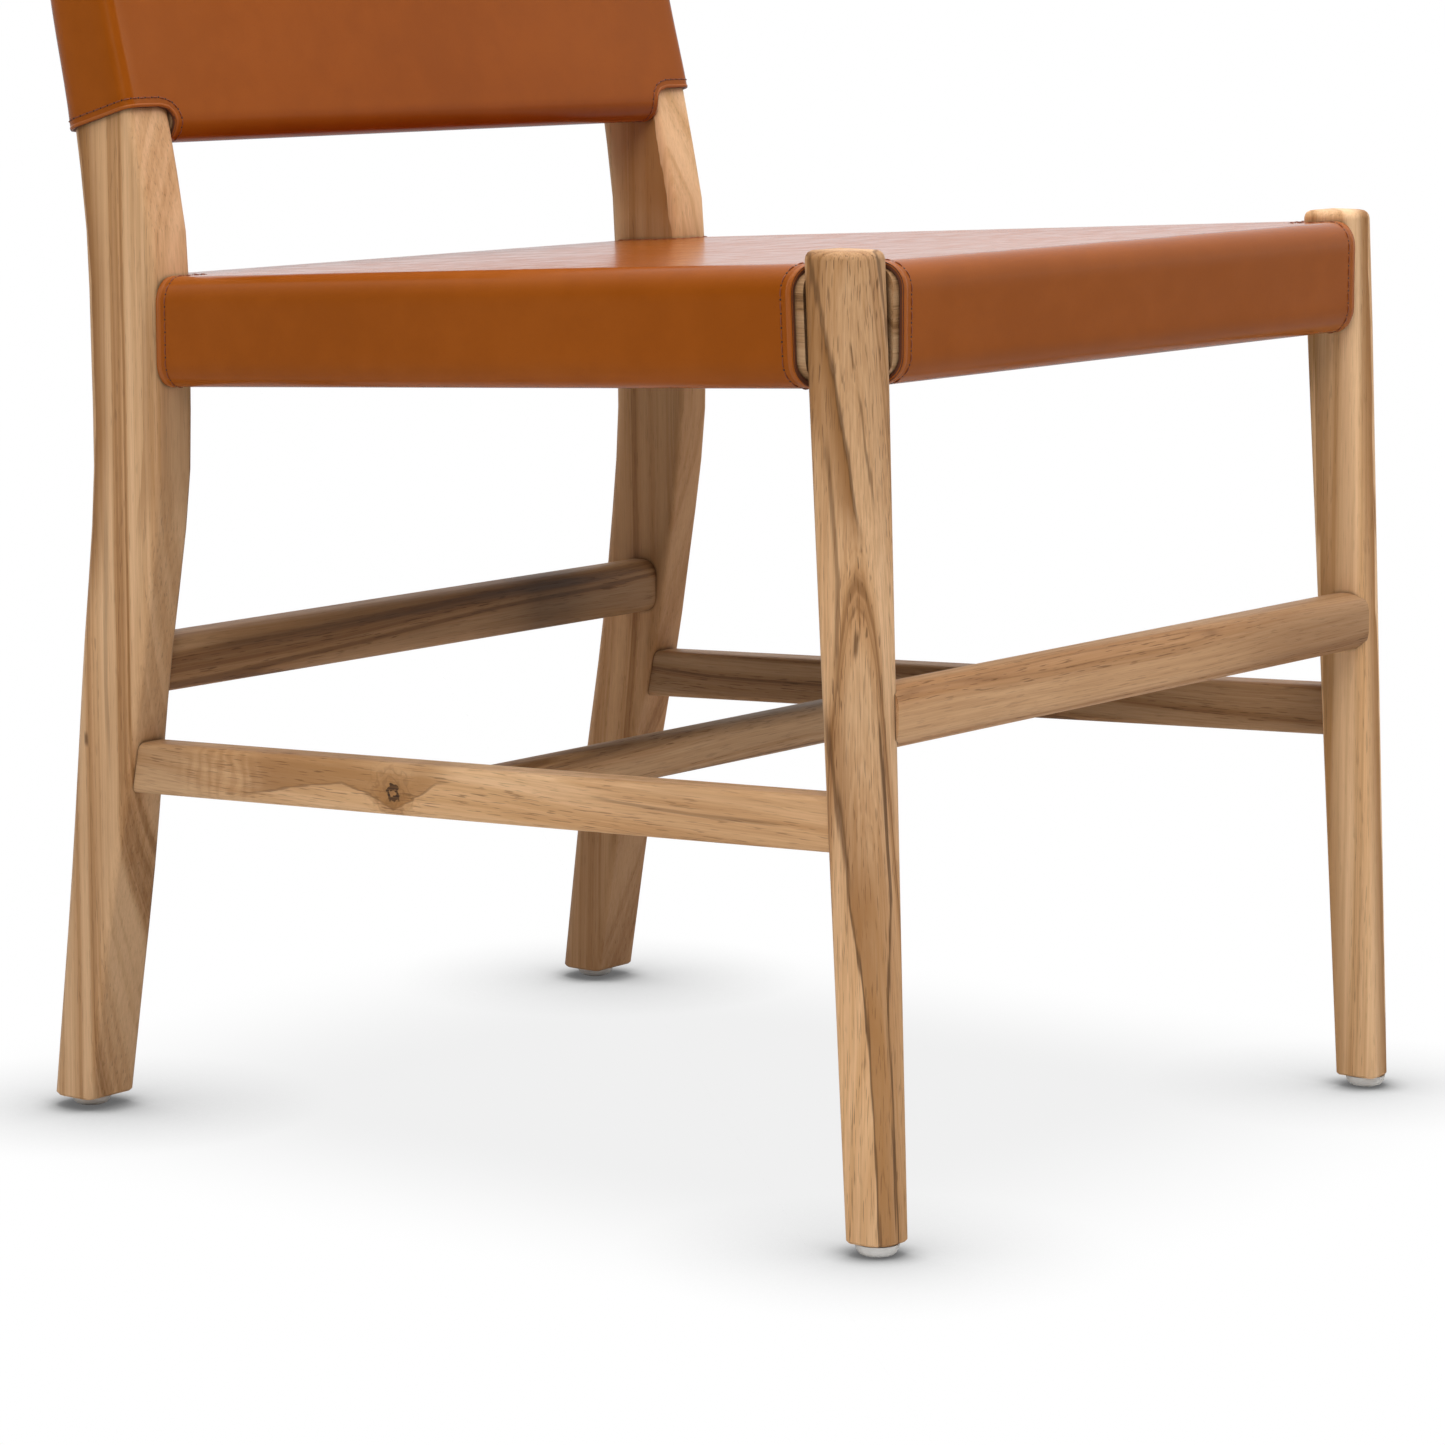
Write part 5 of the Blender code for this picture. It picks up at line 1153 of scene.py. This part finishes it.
def notched_sheet(plan, z_of, pitch=0.010):
    """A sheet in the seat's plan, drawn in by plan, with its corners cut out round the legs."""
    bm = bmesh.new()
    x, y, half = front_leg(NOTCH_Z)
    y_front, y_rear = y + half + NOTCH_SIDE_GAP + FIT_GAP, HIP_FRONT_Y - NOTCH_REAR_GAP - FIT_GAP
    inner_front = x - half - NOTCH_FRONT_GAP - FIT_GAP
    inner_rear = rear_inner_x(NOTCH_Z) - NOTCH_REAR_GAP - FIT_GAP
    rows = steps(SEAT_FRONT_Y + plan, y_front, pitch, 2) + steps(y_front, y_rear, pitch)[1:]
    rows += steps(y_rear, SEAT_REAR_Y - plan, pitch, 2)[1:]
    table = []
    for y in rows:
        inner = between(inner_front, inner_rear, clamped((y - y_front) / (y_rear - y_front)))
        places = [u * inner for u in steps(-1, 1, pitch / inner_front)]
        if y_front - 1e-6 <= y <= y_rear + 1e-6:
            edge = seat_half(y) - plan
            near = between(inner, edge, 0.5)
            places = [-edge, -near, *places, near, edge]
        else:
            places = [None, None, *places, None, None]
        table.append([None if x is None else bm.verts.new(row(x, y, z_of(x, y))) for x in places])
    grid(bm, table)
    bmesh.ops.recalc_face_normals(bm, faces=bm.faces)
    if sum(f.normal.z for f in bm.faces) < 0:
        bmesh.ops.reverse_faces(bm, faces=bm.faces)
    return bm


def pad_top(x, y):
    uneven = 0.00012 * sin(47 * x + 0.5) * sin(39 * y)
    return seat_top(y) - RAIL_INSET - FIT_GAP - sag(x, y) + uneven


seat_pad = mesh_piece("seat_foam", notched_sheet(PAD_PLAN + PAD_SLACK, pad_top), closed=False)
modifier(seat_pad, "SOLIDIFY", thickness=PAD_THICKNESS - PAD_SLACK, offset=-1.0, use_even_offset=True)
modifier(seat_pad, "BEVEL", width=0.0020, segments=3, limit_method="ANGLE", angle_limit=radians(50))
set_material(applied(seat_pad), foam("seat_foam"))
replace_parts(seat_pad, "seat_pad")


def cushion(low, high, gap):
    """The block of foam between the posts and the back rails, drawn in by a gap on every side."""
    bm = bmesh.new()
    rings = []
    for z in steps(low + gap, high - gap, 0.010):
        half = rear_inner_x(z) - FIT_GAP - gap
        front, rear = rear_front_y(z) + gap, rear_back_y(z) - gap
        corners = ((-half, front), (half, front), (half, rear), (-half, rear))
        rings.append([bm.verts.new(row(x, y, z)) for x, y in corners])
    loft(bm, rings)
    return bm


def puffed(obj, voxel, pressure, cap, frames=20):
    """Swells a closed piece with a cloth simulation and keeps each point within cap of where it was."""
    modifier(obj, "REMESH", mode="VOXEL", voxel_size=voxel)
    applied(obj)
    before = [v.co.copy() for v in obj.data.vertices]
    cloth = obj.modifiers.new("Cloth", "CLOTH")
    cloth.settings.use_pressure = True
    cloth.settings.uniform_pressure_force = pressure
    cloth.settings.effector_weights.gravity = 0.0
    cloth.settings.quality = 6
    cloth.point_cache.frame_start, cloth.point_cache.frame_end = 1, frames
    for frame_number in range(1, frames + 1):
        bpy.context.scene.frame_set(frame_number)
    applied(obj)
    bpy.context.scene.frame_set(1)
    for v, start in zip(obj.data.vertices, before):
        moved = v.co - start
        if moved.length > cap:
            v.co = start + moved.normalized() * cap
    return obj


past_rail = RAIL_INSET + BACK_RAIL_HEIGHT + FIT_GAP
back_pad = mesh_piece("back_foam", cushion(BACK_BOTTOM + past_rail, BACK_TOP - past_rail, 0.0028))
modifier(puffed(back_pad, voxel=0.005, pressure=4.0, cap=0.0024), "SUBSURF", levels=1, render_levels=1)
set_material(smooth(applied(back_pad)), foam("back_foam"))
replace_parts(back_pad, "back_pad")


# Half a strap's outline, as shares of its width and thickness; the other half is its opposite
STRAP_HALF = [(-0.5, -0.30), (-0.5, 0.30), (-0.485, 0.5), *((u / 10, 0.5) for u in range(-4, 5)), (0.485, 0.5)]
STRAP_OUTLINE = STRAP_HALF + [(-u, -v) for u, v in STRAP_HALF]


def strap(y_centre):
    """A flat woven strap across the frame, sunk in the middle, with its ends on the side rails' ledges."""
    bm = bmesh.new()
    half = seat_half(y_centre) - PAD_PLAN
    rings = []
    for x in steps(-half, half, 0.010):
        ring = []
        for u, v in STRAP_OUTLINE:
            y = y_centre + u * STRAP_WIDTH
            x_here = max(PAD_PLAN - seat_half(y), min(seat_half(y) - PAD_PLAN, x))
            level = seat_top(y) - RAIL_INSET - PAD_THICKNESS - 2 * FIT_GAP - STRAP_THICKNESS / 2
            ring.append(bm.verts.new(row(x_here, y, level - hollow(x_here, y, 0.0024) + v * STRAP_THICKNESS)))
        rings.append(ring)
    loft(bm, rings)
    return bm


WEBBING = woven("webbing", (84, 78, 72), (42, 39, 36), 0.0022)
margin = STRAP_LEG_GAP + STRAP_WIDTH / 2
_, leg_y, leg_half = front_leg(SEAT_HEIGHT)
for number in range(STRAP_COUNT):
    y_centre = between(leg_y + leg_half + margin, HIP_FRONT_Y - margin, number / (STRAP_COUNT - 1))
    made = mesh_piece("seat_webbing_%d" % (number + 1), strap(y_centre), WEBBING)
    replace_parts(split_edges(made, 60), "seat_strap_%d" % (number + 1))


def cover_height(x, y):
    """The dust cover's underside: held to the rails, and hanging a little between them, with faint folds."""
    ripple = 0.0005 * sin(38 * x + 9 * y) * sin(21 * y + 0.6) + 0.0003 * sin(90 * (x + y))
    level = seat_top(y) - seat_depth(y) + RAIL_INSET - FIT_GAP - COVER_THICKNESS
    return level - hollow(x, y, 1.0) * (0.0032 + ripple)


cover_sheet = notched_sheet(COVER_PLAN, cover_height, 0.008)
cover_area = sum(f.calc_area() for f in cover_sheet.faces)
cover_cloth = woven("dust_cover_cloth", (44, 43, 42), (20, 20, 20), 0.0011)
dust_cover = mesh_piece("dust_cover_cloth", cover_sheet, cover_cloth, closed=False)
modifier(dust_cover, "SOLIDIFY", thickness=COVER_THICKNESS * 0.8, offset=1.0)
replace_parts(dust_cover, "dust_cover")


# Glides, nails and screws

GLIDE_PROFILE = [
    (0.0052, 0.0), (0.0068, 0.0002), (0.0083, 0.0009), (0.0094, 0.0020), (0.0101, 0.0034), (0.0105, 0.0049),
    (GLIDE_RADIUS, GLIDE_TOP),
]
GLIDE_SIDES = 40
NYLON = plain("glide_nylon", (228, 226, 222), (214, 212, 208), 700.0, (0.42, 0.55))
STEEL = plain("zinc_steel", (196, 196, 200), (150, 150, 156), 1600.0, (0.25, 0.42), metallic=1.0)


def glide(obj):
    """A moulded glide with a domed foot, in the place of the CAD's."""
    corners = [obj.matrix_world @ Vector(c) for c in obj.bound_box]
    low, high = (Vector([pick(c[i] for c in corners) for i in range(3)]) for pick in (min, max))
    centre = (low + high) / 2
    centre.z = low.z
    height = (high.z - low.z) / GLIDE_TOP
    turns = [2 * pi * k / GLIDE_SIDES for k in range(GLIDE_SIDES)]
    bm = bmesh.new()
    loft(bm, [
        [bm.verts.new(centre + Vector((radius * cos(t), radius * sin(t), z * height))) for t in turns]
        for radius, z in GLIDE_PROFILE
    ])
    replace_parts(split_edges(mesh_piece("domed_" + obj.name, bm, NYLON), 60), obj.name)


for node_name, obj in list(NODES.items()):
    if "nail" in node_name or "screw" in node_name:
        set_material(smooth_shaded(obj, 40.0), STEEL)
    elif node_name.startswith("glide"):
        glide(obj)


# Camera, floor and light

CAMERA_PLACE = (-2.1715, -1.3646 + FRONT, 0.6116)
CAMERA_YAW, CAMERA_PITCH = radians(36.8535), radians(-8.5816)
FOCAL_PIXELS, PICTURE_PIXELS, SENSOR = 5170.8728, 1445, 36.0

camera = link(bpy.data.objects.new("camera", bpy.data.cameras.new("camera")))
camera.data.sensor_width = SENSOR
camera.data.lens = FOCAL_PIXELS / PICTURE_PIXELS * SENSOR
camera.data.clip_end = 100.0
aim = Vector((cos(CAMERA_PITCH) * cos(CAMERA_YAW), cos(CAMERA_PITCH) * sin(CAMERA_YAW), sin(CAMERA_PITCH)))
camera.location = CAMERA_PLACE
camera.rotation_euler = aim.to_track_quat("-Z", "Y").to_euler()
bpy.context.scene.camera = camera


def lamp(name, place, size, power):
    """A square area lamp that faces the chair."""
    data = bpy.data.lights.new(name, "AREA")
    data.size = size
    data.energy = power
    obj = link(bpy.data.objects.new(name, data))
    obj.location = place
    obj.rotation_euler = (Vector((0.0, 0.0, 0.30)) - Vector(place)).to_track_quat("-Z", "Y").to_euler()


lamp("right_lamp", (1.9, -2.6, 2.4), 1.2, 14.0)
lamp("left_lamp", (-2.9, -1.2, 2.6), 1.8, 46.0)
lamp("overhead_lamp", (0.0, -0.2, 2.6), 3.2, 78.0)

world = bpy.data.worlds.new("studio")
bpy.context.scene.world = world
world.use_nodes = True
w = Nodes(world.node_tree)
# The lit backdrop beyond the chair throws light back on it, and the room behind the camera stays dim
view = (cos(CAMERA_YAW), sin(CAMERA_YAW), 0.0)
facing = w.vector("DOT_PRODUCT", w.add("ShaderNodeTexCoord").outputs["Generated"], view)
beyond = w.span(facing, -0.25, 0.25, 0.04, 0.40, smooth=False)
gain = w.math("MULTIPLY_ADD", w.rays("Is Glossy Ray"), 1.62, 1.0)
ambient = w.add("ShaderNodeBackground", {"Color": (0.95, 0.97, 1.0, 1.0), "Strength": w.times(beyond, gain)})
white = w.add("ShaderNodeBackground", {"Color": (1.0, 1.0, 1.0, 1.0), "Strength": 1.0})
seen = w.rays("Is Camera Ray", "Is Transmission Ray")
mixed = w.add("ShaderNodeMixShader", {0: seen, 1: ambient.outputs[0], 2: white.outputs[0]})
w.add("ShaderNodeOutputWorld", {"Surface": mixed.outputs[0]})

floor_bm = bmesh.new()
bmesh.ops.create_grid(floor_bm, x_segments=1, y_segments=1, size=14.0)
floor_mesh = bpy.data.meshes.new("floor")
floor_bm.to_mesh(floor_mesh)
floor_bm.free()
floor = link(bpy.data.objects.new("floor", floor_mesh))
floor.location = (0.0, 0.0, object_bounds()[0].z)
s = Shader("floor")
# Painted shadow of the overhead light: an even grey where the chair stands over the floor, soft at its edges
spread = s.add("ShaderNodeSeparateXYZ", {0: s.place}).outputs
cover = s.times(s.span(s.math("ABSOLUTE", spread[0]), 0.36, 0.15), s.span(s.math("ABSOLUTE", spread[1]), 0.40, 0.17))
level = s.span(cover, 0.0, 1.0, 1.0, 0.872, smooth=False)
# Painted contact shadows under the feet, from ambient occlusion, the wider one on the side away from the light
leaning = s.add("ShaderNodeAmbientOcclusion", {"Distance": 0.11, "Normal": (0.56, -0.74, 0.36)}, samples=16)
level = s.times(level, s.span(leaning.outputs["AO"], 0.55, 1.0, 0.40, 1.0, smooth=False))
near = s.add("ShaderNodeAmbientOcclusion", {"Distance": 0.016}, samples=8)
level = s.times(level, s.span(near.outputs["AO"], 0.30, 0.95, 0.35, 1.0, smooth=False))
level = s.times(level, s.math("MULTIPLY_ADD", s.rays("Is Glossy Ray"), -0.50, 1.0))
shown = s.add("ShaderNodeEmission", {"Strength": level})
diffuse = s.add("ShaderNodeBsdfDiffuse", {"Color": (0.86, 0.86, 0.86, 1.0)})
seen = s.rays("Is Camera Ray", "Is Transmission Ray", "Is Glossy Ray")
mixed = s.add("ShaderNodeMixShader", {0: seen, 1: diffuse.outputs[0], 2: shown.outputs[0]})
floor.data.materials.append(s.finished(mixed))

bpy.context.scene.view_settings.view_transform = "Standard"
